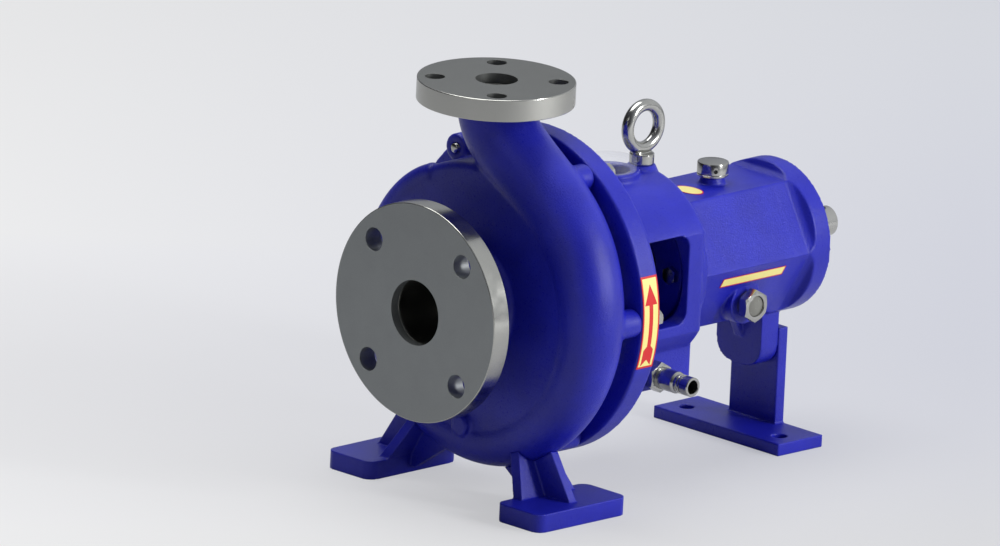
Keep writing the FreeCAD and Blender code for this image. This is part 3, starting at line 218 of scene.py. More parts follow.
def studio_board():
    """Matt board for every light path, with a painted tone mixed in for the camera."""
    material, tree = new_material("studio_floor")
    matt = add(tree, "ShaderNodeBsdfDiffuse")
    feed(tree, FLOOR_GREY, matt.inputs["Color"])
    spot = object_spot(tree)
    sideways = scaled(tree, math_node(tree, "SUBTRACT", spot["X"], spot["Y"]), 0.9, 0.5)
    depth = scaled(tree, math_node(tree, "ADD", spot["X"], spot["Y"]), 0.42, 0.14)
    tone = between(tree, sideways, ramp(tree, depth, LEFT_TONES), ramp(tree, depth, RIGHT_TONES))
    painted = add(tree, "ShaderNodeEmission")
    plug(tree, tone, painted.inputs["Color"])
    seen = mix_shaders(tree, PAINTED_SHARE, matt.outputs[0], painted.outputs[0])
    camera_ray = add(tree, "ShaderNodeLightPath").outputs["Is Camera Ray"]
    out = add(tree, "ShaderNodeOutputMaterial")
    plug(tree, mix_shaders(tree, camera_ray, matt.outputs[0], seen), out.inputs[0])
    return material


floor_mesh = bpy.data.meshes.new("studio_floor")
corners = [(-1, -1), (1, -1), (1, 1), (-1, 1)]
floor_mesh.from_pydata([(x * FLOOR_REACH, y * FLOOR_REACH, 0) for x, y in corners], [], [(0, 1, 2, 3)])
floor = bpy.data.objects.new("studio_floor", floor_mesh)
bpy.context.scene.collection.objects.link(floor)
floor_mesh.materials.append(studio_board())
print("floor", FLOOR_REACH * 2, "metres square")

# %% [markdown]
# The room itself is dark with one bright wall, high on the right, because polished steel
# looks like steel only when it has something dark and something bright to mirror. The camera,
# and whatever is seen through clear plastic, meets a plain pale backdrop instead.

# %% Room
BRIGHT_WALL = (0.80, -0.25, 0.55)
ROOM_STRENGTH = 0.8
ROOM_TONES = [
    (0.0, (0.015, 0.015, 0.018)),
    (0.48, (0.03, 0.03, 0.035)),
    (0.78, (0.50, 0.52, 0.57)),
    (1.0, (0.95, 0.97, 1.0)),
]
BACKDROP = (0.82, 0.83, 0.86)


def studio_room():
    """Dark room with a bright wall, and a pale backdrop for the camera."""
    world = bpy.data.worlds.new("studio")
    bpy.context.scene.world = world
    world.use_nodes = True
    tree = world.node_tree
    tree.nodes.clear()
    facing = add(tree, "ShaderNodeVectorMath", operation="DOT_PRODUCT")
    plug(tree, add(tree, "ShaderNodeTexCoord").outputs["Generated"], facing.inputs[0])
    facing.inputs[1].default_value = BRIGHT_WALL
    bright = scaled(tree, facing.outputs["Value"], 0.5, 0.5)
    room = add(tree, "ShaderNodeBackground")
    plug(tree, ramp(tree, bright, ROOM_TONES), room.inputs["Color"])
    room.inputs["Strength"].default_value = ROOM_STRENGTH
    backdrop = add(tree, "ShaderNodeBackground")
    feed(tree, BACKDROP, backdrop.inputs["Color"])
    path = add(tree, "ShaderNodeLightPath").outputs
    plain = math_node(tree, "MAXIMUM", path["Is Camera Ray"], path["Is Transmission Ray"])
    out = add(tree, "ShaderNodeOutputWorld")
    plug(tree, mix_shaders(tree, plain, room.outputs[0], backdrop.outputs[0]), out.inputs[0])


studio_room()
print("room with", len(ROOM_TONES), "tones")

# %% [markdown]
# Four lamps look at the pump. The key lamp is large, stands on the right and is hidden from
# gloss, because its mirror image would bleach the flats of the bearing housing. A narrow tall
# lamp beside it draws the soft streak down the crest of the volute. A wide lamp overhead
# lights the tops, and a weak one before the suction flange keeps its face from going dark.

# %% Lamps
LAMPS_LOOK_AT = Vector((0.12, 0.0, 0.15))


def soft_lamp(name, place, width, power, height=None):
    """An area lamp that looks at the pump, square unless it gets a height."""
    lamp = bpy.data.lights.new(name, "AREA")
    lamp.shape = "RECTANGLE"
    lamp.size = width
    lamp.size_y = height or width
    lamp.energy = power
    made = bpy.data.objects.new(name, lamp)
    bpy.context.scene.collection.objects.link(made)
    made.location = place
    made.rotation_euler = (LAMPS_LOOK_AT - Vector(place)).to_track_quat("-Z", "Y").to_euler()
    return made


key_lamp = soft_lamp("key_lamp", (1.5, -1.6, 0.75), width=1.0, power=12)
key_lamp.visible_glossy = False
soft_lamp("side_lamp", (0.85, -1.98, 0.90), width=0.3, height=0.8, power=25)
soft_lamp("top_lamp", (0.1, 0.5, 2.0), width=1.4, power=24)
soft_lamp("front_lamp", (-1.7, -0.4, 1.0), width=0.9, power=2.5)
bpy.context.scene.view_settings.view_transform = "Standard"

# %% [markdown]
# ## Paint
# The castings are sprayed in a deep blue enamel. Sprayed enamel is never quite flat: it dries
# with a fine ripple like the skin of an orange, and it is a touch glossier where it pooled.
# One fine noise drives both the bump and the roughness, and a broad one lets the colour drift
# a little, so that large faces don't look printed.

# %% Noise, range and bump
def grain(tree, scale, detail, rough=0.5):
    """Noise read from object coordinates; scale is in waves per metre."""
    noise = add(tree, "ShaderNodeTexNoise")
    noise.inputs["Scale"].default_value = scale
    noise.inputs["Detail"].default_value = detail
    noise.inputs["Roughness"].default_value = rough
    plug(tree, add(tree, "ShaderNodeTexCoord").outputs["Object"], noise.inputs["Vector"])
    return noise.outputs["Fac"]


def span(tree, value, low, high, start=0.3, stop=0.7):
    """Map a value from start..stop, where most of a noise lies, to low..high."""
    made = add(tree, "ShaderNodeMapRange")
    made.inputs["From Min"].default_value = start
    made.inputs["From Max"].default_value = stop
    made.inputs["To Min"].default_value = low
    made.inputs["To Max"].default_value = high
    plug(tree, value, made.inputs["Value"])
    return made.outputs[0]


def bumped(tree, value, strength, distance):
    """A Normal that leans as if the value were a height."""
    made = add(tree, "ShaderNodeBump")
    made.inputs["Strength"].default_value = strength
    made.inputs["Distance"].default_value = distance
    plug(tree, value, made.inputs["Height"])
    return made.outputs[0]


print("noise in waves per metre")

# %% Enamel
def surface(tree, **sockets):
    """The Principled shader with sockets set by number, colour or link."""
    shader = add(tree, "ShaderNodeBsdfPrincipled")
    for name, value in sockets.items():
        feed(tree, value, shader.inputs[name.replace("_", " ")])
    plug(tree, shader.outputs[0], add(tree, "ShaderNodeOutputMaterial").inputs[0])


def enamel(name, dark, light):
    material, tree = new_material(name)
    peel = grain(tree, 600.0, 4.0, 0.75)
    drift = grain(tree, 24.0, 4.0, 0.6)
    surface(
        tree,
        Base_Color=between(tree, span(tree, drift, 0.0, 1.0, 0.35, 0.65), dark, light),
        Roughness=span(tree, peel, 0.25, 0.38),
        Normal=bumped(tree, peel, 0.7, 0.0005),
        Specular_IOR_Level=0.40,
    )
    return material


BLUE = enamel("blue_enamel", (0.010, 0.013, 0.34), (0.014, 0.018, 0.42))
print("paint:", BLUE.name)

# %% [markdown]
# ## Steels
# A lathe leaves rings round the axis it turned about, so the flange faces get rings of that
# kind: a sine of the distance from the axis, broken by noise. Rims, the shaft and the small
# fittings are ground, polished or plated and have fine noise instead.

# %% Turned faces
RING_PITCH = 0.0008


def lighter(colour, factor):
    """A colour times a factor, at most white."""
    return tuple(min(1.0, part * factor) for part in colour)


def distance_from(tree, axis, centre):
    """Distance of a point from a turning axis, in metres."""
    spot = object_spot(tree)
    squares = []
    for letter, middle in zip("XYZ", centre):
        if letter != axis:
            gap = math_node(tree, "SUBTRACT", spot[letter], middle)
            squares.append(math_node(tree, "MULTIPLY", gap, gap))
    return math_node(tree, "SQRT", math_node(tree, "ADD", *squares))


def turned_steel(name, colour, gloss, axis, centre):
    """Steel with the fine rings of a lathe tool."""
    material, tree = new_material(name)
    radius = distance_from(tree, axis, centre)
    wave = math_node(tree, "SINE", math_node(tree, "MULTIPLY", radius, 2 * math.pi / RING_PITCH))
    speck = grain(tree, 900.0, 2.0)
    worn = grain(tree, 60.0, 4.0, 0.6)
    height = math_node(tree, "ADD", span(tree, wave, 0.0, 1.0, -1.0, 1.0), speck)
    surface(
        tree,
        Base_Color=between(tree, worn, colour, lighter(colour, 1.12)),
        Metallic=0.75,
        Roughness=span(tree, speck, gloss - 0.04, gloss + 0.06),
        Normal=bumped(tree, height, 0.4, 0.00006),
    )
    return material


# Both faces are the same steel: the suction face is painted lighter and the discharge face darker,
# painted light and shade that match how each face is lit.
SUCTION_FACE_PAINTED_LIGHTER = turned_steel("turned_face_suction_painted_lighter", (0.29, 0.305, 0.305), 0.46, "X", (0, 0, SHAFT))
DISCHARGE_FACE_PAINTED_DARKER = turned_steel("turned_face_discharge_painted_darker", (0.15, 0.155, 0.15), 0.46, "Z", (0, 0, 0))
print("turned faces with rings every", RING_PITCH / MM, "mm")

# %% Ground, plated and cast metal
def plated(name, colour, gloss, metallic=1.0):
    """Polished or plated metal with a faint unevenness."""
    material, tree = new_material(name)
    fine = grain(tree, 700.0, 3.0)
    broad = grain(tree, 90.0, 3.0)
    surface(
        tree,
        Base_Color=between(tree, broad, colour, lighter(colour, 1.10)),
        Metallic=metallic,
        Roughness=span(tree, broad, gloss * 0.8, gloss * 1.25),
        Normal=bumped(tree, fine, 0.08, 0.0001),
    )
    return material


RIM = plated("polished_rim", (0.44, 0.44, 0.41), gloss=0.20)
SHAFT_STEEL = plated("ground_shaft", (0.48, 0.48, 0.46), gloss=0.24)
PLATE = plated("bright_plate", (0.44, 0.44, 0.42), gloss=0.20)
ZINC = plated("dull_zinc", (0.62, 0.62, 0.60), gloss=0.45, metallic=0.2)
# Bare metal of the bores, darker than the other cast steel: the bare metal is real, the extra darkness is
# painted shade deep in the bores.
BARE_BORE_PAINTED_SHADE = plated("bare_bore_painted_shade", (0.24, 0.24, 0.22), gloss=0.38)
CAST_STEEL = plated("fine_cast_steel", (0.40, 0.41, 0.41), gloss=0.38)
BALL_STEEL = plated("bearing_steel", (0.70, 0.70, 0.71), gloss=0.10)
BRASS = plated("cage_brass", (0.62, 0.42, 0.16), gloss=0.28)
METALS = (RIM, SHAFT_STEEL, PLATE, ZINC, BARE_BORE_PAINTED_SHADE, CAST_STEEL, BALL_STEEL, BRASS)
print("metals:", [metal.name for metal in METALS])

# %% [markdown]
# ## Rubber, carbon and plastic
# Seals are moulded or pressed and matt, with a fine grain. The lens of the sight glass shows
# the dark oil room behind it, so it is simply a dark, glossy grey. The guard on top of the
# lantern is so clear that little more than its gloss shows: a low Alpha gives that without
# the bent light of real refraction.

# %% Soft finishes
def moulded(name, dark, light, rough, scale):
    """Moulded material with a fine grain."""
    material, tree = new_material(name)
    fine = grain(tree, scale, 3.0)
    surface(
        tree,
        Base_Color=between(tree, fine, dark, light),
        Roughness=span(tree, fine, rough - 0.08, rough + 0.08),
        Normal=bumped(tree, fine, 0.15, 0.0001),
    )
    return material


def clear(name, tint, rough, body):
    """Clear plastic so thin that it shows little more than its gloss."""
    material, tree = new_material(name)
    fine = grain(tree, 120.0, 2.0)
    surface(
        tree,
        Base_Color=between(tree, fine, tint, lighter(tint, 1.03)),
        Roughness=span(tree, fine, rough, rough + 0.05),
        Alpha=body,
    )
    return material


RUBBER = moulded("black_rubber", (0.012, 0.012, 0.013), (0.03, 0.03, 0.03), rough=0.62, scale=800.0)
CARBON = moulded("seal_carbon", (0.03, 0.03, 0.035), (0.05, 0.05, 0.055), rough=0.35, scale=1200.0)
GLASS = moulded("sight_glass", (0.16, 0.16, 0.14), (0.20, 0.20, 0.18), rough=0.20, scale=300.0)
CLEAR = clear("clear_guard", (0.90, 0.92, 0.94), rough=0.04, body=0.10)
print("soft finishes:", RUBBER.name, CARBON.name, GLASS.name, CLEAR.name)

# %% [markdown]
# ## Castings
# The casing, its feet, the adapter and the bearing housing come from sand moulds. In a
# casting every inner corner is a fillet and every outer edge is soft, which is hard to model
# edge by edge. Here a copy of the solid is merged, rebuilt as one skin on a fine grid of
# voxels, and smoothed. The flat faces stay flat, while the corners flow into each other as
# the pattern maker's fillets do. A last step thins the triangles of the flat areas.

# %% Copies and closed pieces
def as_object(name, mesh):
    made = bpy.data.objects.new(name, mesh)
    bpy.context.scene.collection.objects.link(made)
    return made


def merged_copy(name, node):
    """A copy of a CAD solid with its loose triangles joined, for further shaping."""
    made = bmesh.new()
    made.from_mesh(nodes[node].data)
    bmesh.ops.remove_doubles(made, verts=made.verts, dist=1e-6)
    mesh = bpy.data.meshes.new(name)
    made.to_mesh(mesh)
    made.free()
    return as_object(name, mesh)


def closed_up(name, made):
    """An object from a finished bmesh, with its faces pointing outwards."""
    bmesh.ops.recalc_face_normals(made, faces=made.faces)
    mesh = bpy.data.meshes.new(name)
    made.to_mesh(mesh)
    made.free()
    return as_object(name, mesh)


def band(made, one, two):
    """Faces between two rings of corners; a ring of one corner closes an end."""
    steps = max(len(one), len(two))
    for i in range(steps if steps > 1 else 0):
        j = (i + 1) % steps
        if len(one) == 1:
            made.faces.new((one[0], two[j], two[i]))
        elif len(two) == 1:
            made.faces.new((one[i], one[j], two[0]))
        else:
            made.faces.new((one[i], one[j], two[j], two[i]))


print("solids can be copied and rings joined")

# %% Cutting, dressing and settling
def baked(thing):
    """Replace an object's mesh by its result with all modifiers, and drop them."""
    bpy.context.view_layer.update()
    result = bpy.data.meshes.new_from_object(thing.evaluated_get(bpy.context.evaluated_depsgraph_get()))
    thing.modifiers.clear()
    thing.data = result
    return thing


def cut(thing, tool):
    """Add the cut of one tool; baking carries it out."""
    step = thing.modifiers.new("cut", "BOOLEAN")
    step.operation = "DIFFERENCE"
    step.solver = "EXACT"
    step.object = tool


def dress(thing, *materials):
    thing.data.materials.clear()
    for material in materials:
        thing.data.materials.append(material)


def triangles(mesh):
    return sum(len(face.vertices) - 2 for face in mesh.polygons)


def settle(thing, body, slot, *names):
    """Let a finished piece ride on its body and stand for its CAD nodes.

    The slot is not used; a piece without one, such as a sticker, gets None.
    """
    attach(thing, body)
    if names:
        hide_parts(*names)
    print(thing.name, triangles(thing.data), "triangles")
    return thing


print("a finished piece rides on its body and stands for its nodes")

# %% [markdown]
# A finer grid keeps more detail and makes more triangles, so each casting gets the coarsest
# grid that still shows its ribs and rims. Such a skin has no edge where the paint ends in a
# bore, so the bare faces are picked one by one, by their distance from the axis of the bore.
# They get a dark metal: the metal there is bare, and its extra darkness is painted shade deep in the
# bores.

# %% Casing and its feet
BARE_SUCTION, BARE_UNTIL_X = 0.029, 0.02
BARE_NOZZLE, BARE_FROM_Z = 0.0185, 0.29


def casting(name, node, voxel, passes, limit=180000, carve=None, slot="blue_paint", look=BLUE):
    """A cast piece: a solid rebuilt on a voxel grid, smoothed and thinned to a limit."""
    thing = merged_copy(name, node)
    if carve:
        cut(thing, carve)
    grid = thing.modifiers.new("grid", "REMESH")
    grid.mode = "VOXEL"
    grid.voxel_size = voxel
    soft = thing.modifiers.new("soft", "SMOOTH")
    soft.factor = 0.5
    soft.iterations = passes
    baked(thing)
    count = triangles(thing.data)
    if count > limit:
        thin = thing.modifiers.new("thin", "DECIMATE")
        thin.ratio = limit / count
        baked(thing)
    if carve:
        bpy.data.objects.remove(carve)
    for face in thing.data.polygons:
        face.use_smooth = True
    dress(thing, look)
    return settle(thing, "pump", slot, node)


def bare(spot):
    """Inside the suction bore, the impeller chamber or the discharge bore."""
    from_shaft = math.hypot(spot.y, spot.z - SHAFT)
    from_nozzle = math.hypot(spot.x, spot.y)
    in_suction = from_shaft < BARE_SUCTION and spot.x < BARE_UNTIL_X
    return in_suction or (from_nozzle < BARE_NOZZLE and spot.z > BARE_FROM_Z)


casing = casting("cast_casing", "volute_casing", voxel=0.0015, passes=3)
# The bore faces get bare metal darkened with painted shade.
casing.data.materials.append(BARE_BORE_PAINTED_SHADE)
bare_faces = [face for face in casing.data.polygons if bare(face.center)]
for face in bare_faces:
    face.material_index = 1
print("bare faces:", len(bare_faces))
for side in ("left", "right"):
    casting(f"cast_foot_{side}", f"casing_foot_{side}", voxel=0.0007, passes=1, limit=60000)

# %% [markdown]
# The barrel of the bearing housing is a hexagon that runs on until just before the rear
# flange and then sweeps up to its rim. What lies outside that shape is cut away with one
# tool, before the voxel skin softens the cut. The flat underneath is left out, because the
# pad of the support foot grows from it.

# %% Adapter, housing, covers and support foot
BARREL_ROWS = [
    (0.287, 0.0531),
    (0.3025, 0.0531),
    (0.3075, 0.0560),
    (0.3105, 0.0625),
    (0.3105, 0.090),
    (0.287, 0.090),
]


def barrel_sides():
    """Tool round the hexagon; each row is a place along X and a distance to the flats."""
    made = bmesh.new()
    rings = []
    for x, to_flat in BARREL_ROWS:
        to_corner = to_flat / math.cos(math.pi / 6)
        ring = []
        for i in range(6):
            turn = math.radians(-60 + 60 * i)
            corner = (x, to_corner * math.cos(turn), SHAFT + to_corner * math.sin(turn))
            ring.append(made.verts.new(corner))
        rings.append(ring)
    for one, two in zip(rings, rings[1:] + rings[:1]):
        for i in range(5):
            made.faces.new((one[i], one[i + 1], two[i + 1], two[i]))
    for end in (0, 5):
        made.faces.new([ring[end] for ring in rings])
    return closed_up("barrel_sides", made)


casting("cast_adapter", "adapter_lantern", voxel=0.0013, passes=2)
casting("cast_housing", "bearing_housing", voxel=0.0010, passes=3, limit=150000, carve=barrel_sides())
casting("cast_front_cover", "front_bearing_cover", voxel=0.0009, passes=2, limit=60000)
casting("cast_rear_cover", "rear_bearing_cover", voxel=0.0009, passes=2, limit=60000)
casting("cast_support_foot", "support_foot", voxel=0.0008, passes=1, limit=60000)

# %% [markdown]
# ## Turned pieces
# Flanges, shaft, caps and nipples are lathe work: a profile swung round an axis. The helper
# takes the profile as pairs of distance along the axis and radius, and edges sharper than a
# given angle are marked, so that the shading breaks there and nowhere else.

# %% Lathe
STEPS = 144
TURNED_TO = {
    "X": Matrix(((1, 0, 0, 0), (0, 1, 0, 0), (0, 0, 1, 0), (0, 0, 0, 1))),
    "Y": Matrix(((0, 0, 1, 0), (-1, 0, 0, 0), (0, -1, 0, 0), (0, 0, 0, 1))),
    "Z": Matrix(((0, 1, 0, 0), (0, 0, 1, 0), (1, 0, 0, 0), (0, 0, 0, 1))),
}


def ring_of(made, along, radius, steps, where=Matrix()):
    """Corners round an axis, in millimetres.

    The radius may be a function of the turn, and along may be one of the radius.
    """
    ring = []
    for i in range(steps):
        turn = 2 * math.pi * i / steps
        reach = radius(turn) if callable(radius) else radius
        depth = along(reach) if callable(along) else along
        spot = Vector((depth * MM, reach * MM * math.cos(turn), reach * MM * math.sin(turn)))
        ring.append(made.verts.new(where @ spot))
    return ring


def lathe(name, profile, axis="X", centre=(0, 0, SHAFT), steps=STEPS, closed=False):
    """Swing a profile of (along, radius) pairs, in millimetres, about an axis.

    Along runs with X, against Y or with Z. A closed profile makes a hollow piece.
    """
    made = bmesh.new()
    where = Matrix.Translation(Vector(centre)) @ TURNED_TO[axis]
    rings = []
    for along, radius in profile:
        rings.append(ring_of(made, along, radius, steps if radius > 0 else 1, where))
    pairs = list(zip(rings, rings[1:]))
    if closed:
        pairs.append((rings[-1], rings[0]))
    for one, two in pairs:
        band(made, one, two)
    return closed_up(name, made)


print("lathe set to", STEPS, "steps")

# %% Edges and the last steps
def crisp(thing, degrees=30.0):
    """Smooth shading that breaks at real edges."""
    for face in thing.data.polygons:
        face.use_smooth = True
    thing.data.set_sharp_from_angle(angle=math.radians(degrees))
    return thing


def take_away(thing, *tools):
    """Cut tools out of a piece and throw the tools away."""
    for tool in tools:
        cut(thing, tool)
    baked(thing)
    for tool in tools:
        bpy.data.objects.remove(tool)


def finish(thing, material, body, slot, *names, edge=30.0):
    """The last steps of a turned piece: edges, finish and place in the frame."""
    crisp(thing, edge)
    dress(thing, material)
    settle(thing, body, slot, *names)


print("edges break the shading at 30 degrees")

# %% [markdown]
# ## Flanges
# Each flange is a steel disc with a broken edge, faced on the lathe so that the face shows
# rings while the rim is polished. The bolt holes are drilled right through and countersunk a
# little at both mouths, straddling the centre lines as pipe flanges do.

# %% Flanges
EDGE, SINK, FLANGE_HOLES = 0.7, 0.4, 4


def drill_tool(axis, centre, radius, start, stop):
    """A drill with a small countersink at both mouths."""
    wide = radius + SINK + 1
    profile = [
        (start - 1, 0), (start - 1, wide), (start + SINK, radius),
        (stop - SINK, radius), (stop + 1, wide), (stop + 1, 0),
    ]
    return lathe("drill", profile, axis, centre, steps=48)


def flange(name, node, axis, centre, face, outer, bore, socket, socket_depth, thickness, circle, hole):
    """A drilled flange whose sealing face lies at the centre point; its body lies inward."""
    inward = 1 if axis == "X" else -1
    profile = [
        (0, bore),
        (0, outer - EDGE),
        (EDGE * 0.3, outer - EDGE * 0.3),
        (EDGE, outer),
        (thickness - EDGE, outer),
        (thickness - EDGE * 0.3, outer - EDGE * 0.3),
        (thickness, outer - EDGE),
        (thickness, socket),
        (thickness - socket_depth, socket),
        (thickness - socket_depth, bore),
    ]
    disc = lathe(name, [(inward * along, radius) for along, radius in profile], axis, centre, closed=True)
    start, stop = sorted((0, inward * thickness))
    drills = []
    for i in range(FLANGE_HOLES):
        turn = math.radians(45 + 90 * i)
        one, two = circle * MM * math.cos(turn), circle * MM * math.sin(turn)
        offset = Vector((0, one, two)) if axis == "X" else Vector((one, two, 0))
        drills.append(drill_tool(axis, Vector(centre) + offset, hole, start, stop))
    take_away(disc, *drills)
    crisp(disc, 14.0)
    dress(disc, face, RIM)
    along = "XYZ".index(axis)
    for polygon in disc.data.polygons:
        middle = polygon.center - Vector(centre)
        middle[along] = 0
        if middle.length > (outer - EDGE * 1.02) * MM:
            polygon.material_index = 1
    settle(disc, "pump", "flange_steel", node)


flange("turned_suction_flange", "suction_flange", "X", (-0.080, 0, SHAFT), SUCTION_FACE_PAINTED_LIGHTER,
       outer=88.9, bore=26.5, socket=34.0, socket_depth=9.5, thickness=17.5, circle=69.85, hole=9.5)
flange("turned_discharge_flange", "discharge_flange", "Z", (0, 0, 0.340), DISCHARGE_FACE_PAINTED_DARKER,
       outer=63.5, bore=17.0, socket=23.0, socket_depth=10.0, thickness=18.0, circle=49.2, hole=7.95)

# %% [markdown]
# ## Shaft
# The shaft carries everything that turns. Its coupling end is ground, has a keyway and a small
# chamfer, and is all that shows at the back. The sleeve shows in the lantern windows.

# %% Shaft with keyway
SHAFT_STEPS = [
    (1.5, 0), (1.5, 8), (32, 8), (32, 14), (112, 14), (112, 15), (196, 15), (196, 18.5),
    (292, 18.5), (292, 15), (332.4, 15), (333, 14.4), (333, 12), (384, 12), (385, 11), (385, 0),
]
SLEEVE = [(32, 14.05), (32, 17.5), (111.2, 17.5), (112, 16.7), (112, 14.05)]
KEYWAY_LOW, KEYWAY_HIGH = Vector((0.344, -0.004, 0.168)), Vector((0.380, 0.004, 0.178))


def keyway_tool(low, high):
    """A cutter between two corners: a bar with round ends, standing over the shaft."""
    radius = (high.y - low.y) / 2
    outline = []
    for middle, first in ((low.x + radius, math.pi / 2), (high.x - radius, -math.pi / 2)):
        for i in range(13):
            turn = first + math.pi * i / 12
            outline.append((middle + radius * math.cos(turn), radius * math.sin(turn)))
    made = bmesh.new()
    bottom = [made.verts.new((x, y, low.z)) for x, y in outline]
    top = [made.verts.new((x, y, high.z)) for x, y in outline]
    made.faces.new(bottom[::-1])
    made.faces.new(top)
    band(made, bottom, top)
    return closed_up("cutter", made)


shaft = lathe("ground_shaft", SHAFT_STEPS)
take_away(shaft, keyway_tool(KEYWAY_LOW, KEYWAY_HIGH))
finish(shaft, SHAFT_STEEL, "rotor", "machined_steel", "shaft")
sleeve = lathe("shaft_sleeve_turned", SLEEVE, closed=True)
finish(sleeve, SHAFT_STEEL, "rotor", "machined_steel", "shaft_sleeve")

# %% [markdown]
# ## Screws, nuts and washers
# A hexagon head is not a plain prism: the corners are turned off by a cone, which leaves the
# curved scallops on each flat. One head is shaped point by point, and a small Geometry Nodes
# tree sets copies of it round a bolt circle. Count, circle, first angle and finish are its
# inputs, so one tree serves every ring of fasteners on the pump.

# %% One hexagon fastener
HEAD_POINTS = 48
SCALLOP = math.tan(math.radians(30))


def hexagon(name, flats, head, shank_radius=0.0, shank_length=0.0, bore=0.0, washer=0.0):
    """A fastener seated at x = 0, in millimetres: head to -X, and a shank to +X or a bore."""
    made = bmesh.new()
    inner = flats / 2

    def ring(along, radius):
        return ring_of(made, along, radius, HEAD_POINTS)

    def hexed(turn):
        part = (turn + math.pi / 6) % (math.pi / 3) - math.pi / 6
        return inner / math.cos(part)

    def sloped(radius):
        return -head + (radius - inner * 0.97) * SCALLOP

    rings = [ring(0, bore)] if bore else []
    rings.append(ring(0, washer or hexed))
    if washer:
        rings += [ring(-0.4, washer), ring(-0.4, hexed)]
    rings += [ring(sloped, hexed), ring(-head, inner * 0.94)]
    if bore:
        rings += [ring(-head, bore + 0.4), ring(-head + 0.4, bore)]
        rings.append(rings[0])
    else:
        band(made, rings[-1], [made.verts.new((-head * MM, 0, 0))])
        shank = [
            ring(0, shank_radius),
            ring(shank_length - 0.8, shank_radius),
            ring(shank_length, shank_radius - 0.8),
        ]
        band(made, shank[-1], [made.verts.new((shank_length * MM, 0, 0))])
        rings = shank[::-1] + rings
    for one, two in zip(rings, rings[1:]):
        band(made, one, two)
    return crisp(closed_up(name, made), 25.0)


def mirrored(pattern):
    """Mirror a fastener, so that its head looks towards the coupling."""
    for vertex in pattern.data.vertices:
        vertex.co.x = -vertex.co.x
    pattern.data.flip_normals()
    return pattern


print("fastener heads with", HEAD_POINTS, "points")

# %% Ring of fasteners
def ring_tree():
    """Copies of one fastener round a circle about X, all standing the same way."""
    tree = bpy.data.node_groups.new("fastener_ring", "GeometryNodeTree")
    face = tree.interface
    face.new_socket("Geometry", in_out="OUTPUT", socket_type="NodeSocketGeometry")
    wanted = [
        ("Fastener", "NodeSocketObject"),
        ("Finish", "NodeSocketMaterial"),
        ("Count", "NodeSocketInt"),
        ("Circle radius", "NodeSocketFloat"),
        ("First angle", "NodeSocketFloat"),
        ("Centre", "NodeSocketVector"),
    ]
    named = {}
    for name, kind in wanted:
        named[name] = face.new_socket(name, in_out="INPUT", socket_type=kind).identifier
    entry = add(tree, "NodeGroupInput").outputs
    points = add(tree, "GeometryNodeMeshLine", mode="OFFSET")
    plug(tree, entry["Count"], points.inputs["Count"])
    points.inputs["Offset"].default_value = (0, 0, 0)
    index = add(tree, "GeometryNodeInputIndex").outputs[0]
    turn = math_node(tree, "MULTIPLY", index, math_node(tree, "DIVIDE", 2 * math.pi, entry["Count"]))
    turn = math_node(tree, "ADD", turn, entry["First angle"])
    spot = add(tree, "ShaderNodeCombineXYZ")
    for letter, operation in (("Y", "COSINE"), ("Z", "SINE")):
        reach = math_node(tree, "MULTIPLY", math_node(tree, operation, turn), entry["Circle radius"])
        plug(tree, reach, spot.inputs[letter])
    placed = add(tree, "ShaderNodeVectorMath", operation="ADD")
    plug(tree, spot.outputs[0], placed.inputs[0])
    plug(tree, entry["Centre"], placed.inputs[1])
    setter = add(tree, "GeometryNodeSetPosition")
    plug(tree, points.outputs[0], setter.inputs["Geometry"])
    plug(tree, placed.outputs[0], setter.inputs["Position"])
    source = add(tree, "GeometryNodeObjectInfo", transform_space="ORIGINAL")
    plug(tree, entry["Fastener"], source.inputs["Object"])
    copies = add(tree, "GeometryNodeInstanceOnPoints")
    plug(tree, setter.outputs[0], copies.inputs["Points"])
    plug(tree, source.outputs["Geometry"], copies.inputs["Instance"])
    solid = add(tree, "GeometryNodeRealizeInstances")
    plug(tree, copies.outputs[0], solid.inputs[0])
    finished = add(tree, "GeometryNodeSetMaterial")
    plug(tree, solid.outputs[0], finished.inputs["Geometry"])
    plug(tree, entry["Finish"], finished.inputs["Material"])
    plug(tree, finished.outputs[0], add(tree, "NodeGroupOutput").inputs[0])
    return tree, named


RING, RING_INPUTS = ring_tree()
print("tree inputs:", list(RING_INPUTS))

# %% Fasteners round a bolt circle
def fastener_ring(name, pattern, *names, count, circle, first, x, look=PLATE, z=SHAFT):
    """Set a pattern round a bolt circle, leave a plain mesh and drop the pattern."""
    holder = as_object(name, bpy.data.meshes.new(name))
    step = holder.modifiers.new("ring", "NODES")
    step.node_group = RING
    values = {
        "Fastener": pattern,
        "Finish": look,
        "Count": count,
        "Circle radius": circle * MM,
        "First angle": math.radians(first),
        "Centre": (x * MM, 0.0, z),
    }
    for label, value in values.items():
        step[RING_INPUTS[label]] = value
    baked(holder)
    bpy.data.objects.remove(pattern)
    settle(holder, "pump", "plated_steel", *names)


print("fasteners are", PLATE.name, "unless a ring asks for another look")

# %% [markdown]
# Six studs hold the casing to the adapter. Three of them reach 14 mm further forward than the
# others, so each rod begins where the solid of its own stud does. Only the two ends are
# threaded. A real thread would be lost at this size, so plain rings stand for it.

# %% Studs, nuts and washers of the casing
STUD_CIRCLE, STUD_RADIUS, THREAD_PITCH = 122, 4.0, 1.25
FRONT_THREAD, REAR_THREAD = 8, 14
WASHER_AT, NUT_AT = 63, 64.6


def washer(bore, outer, thickness, edge):
    """A turned washer that starts at x = 0, in millimetres."""
    pattern = lathe("washer", [
        (0, bore), (0, outer - edge), (edge, outer), (thickness - edge, outer),
        (thickness, outer - edge), (thickness, bore)], centre=(0, 0, 0), steps=48, closed=True)
    return crisp(pattern)


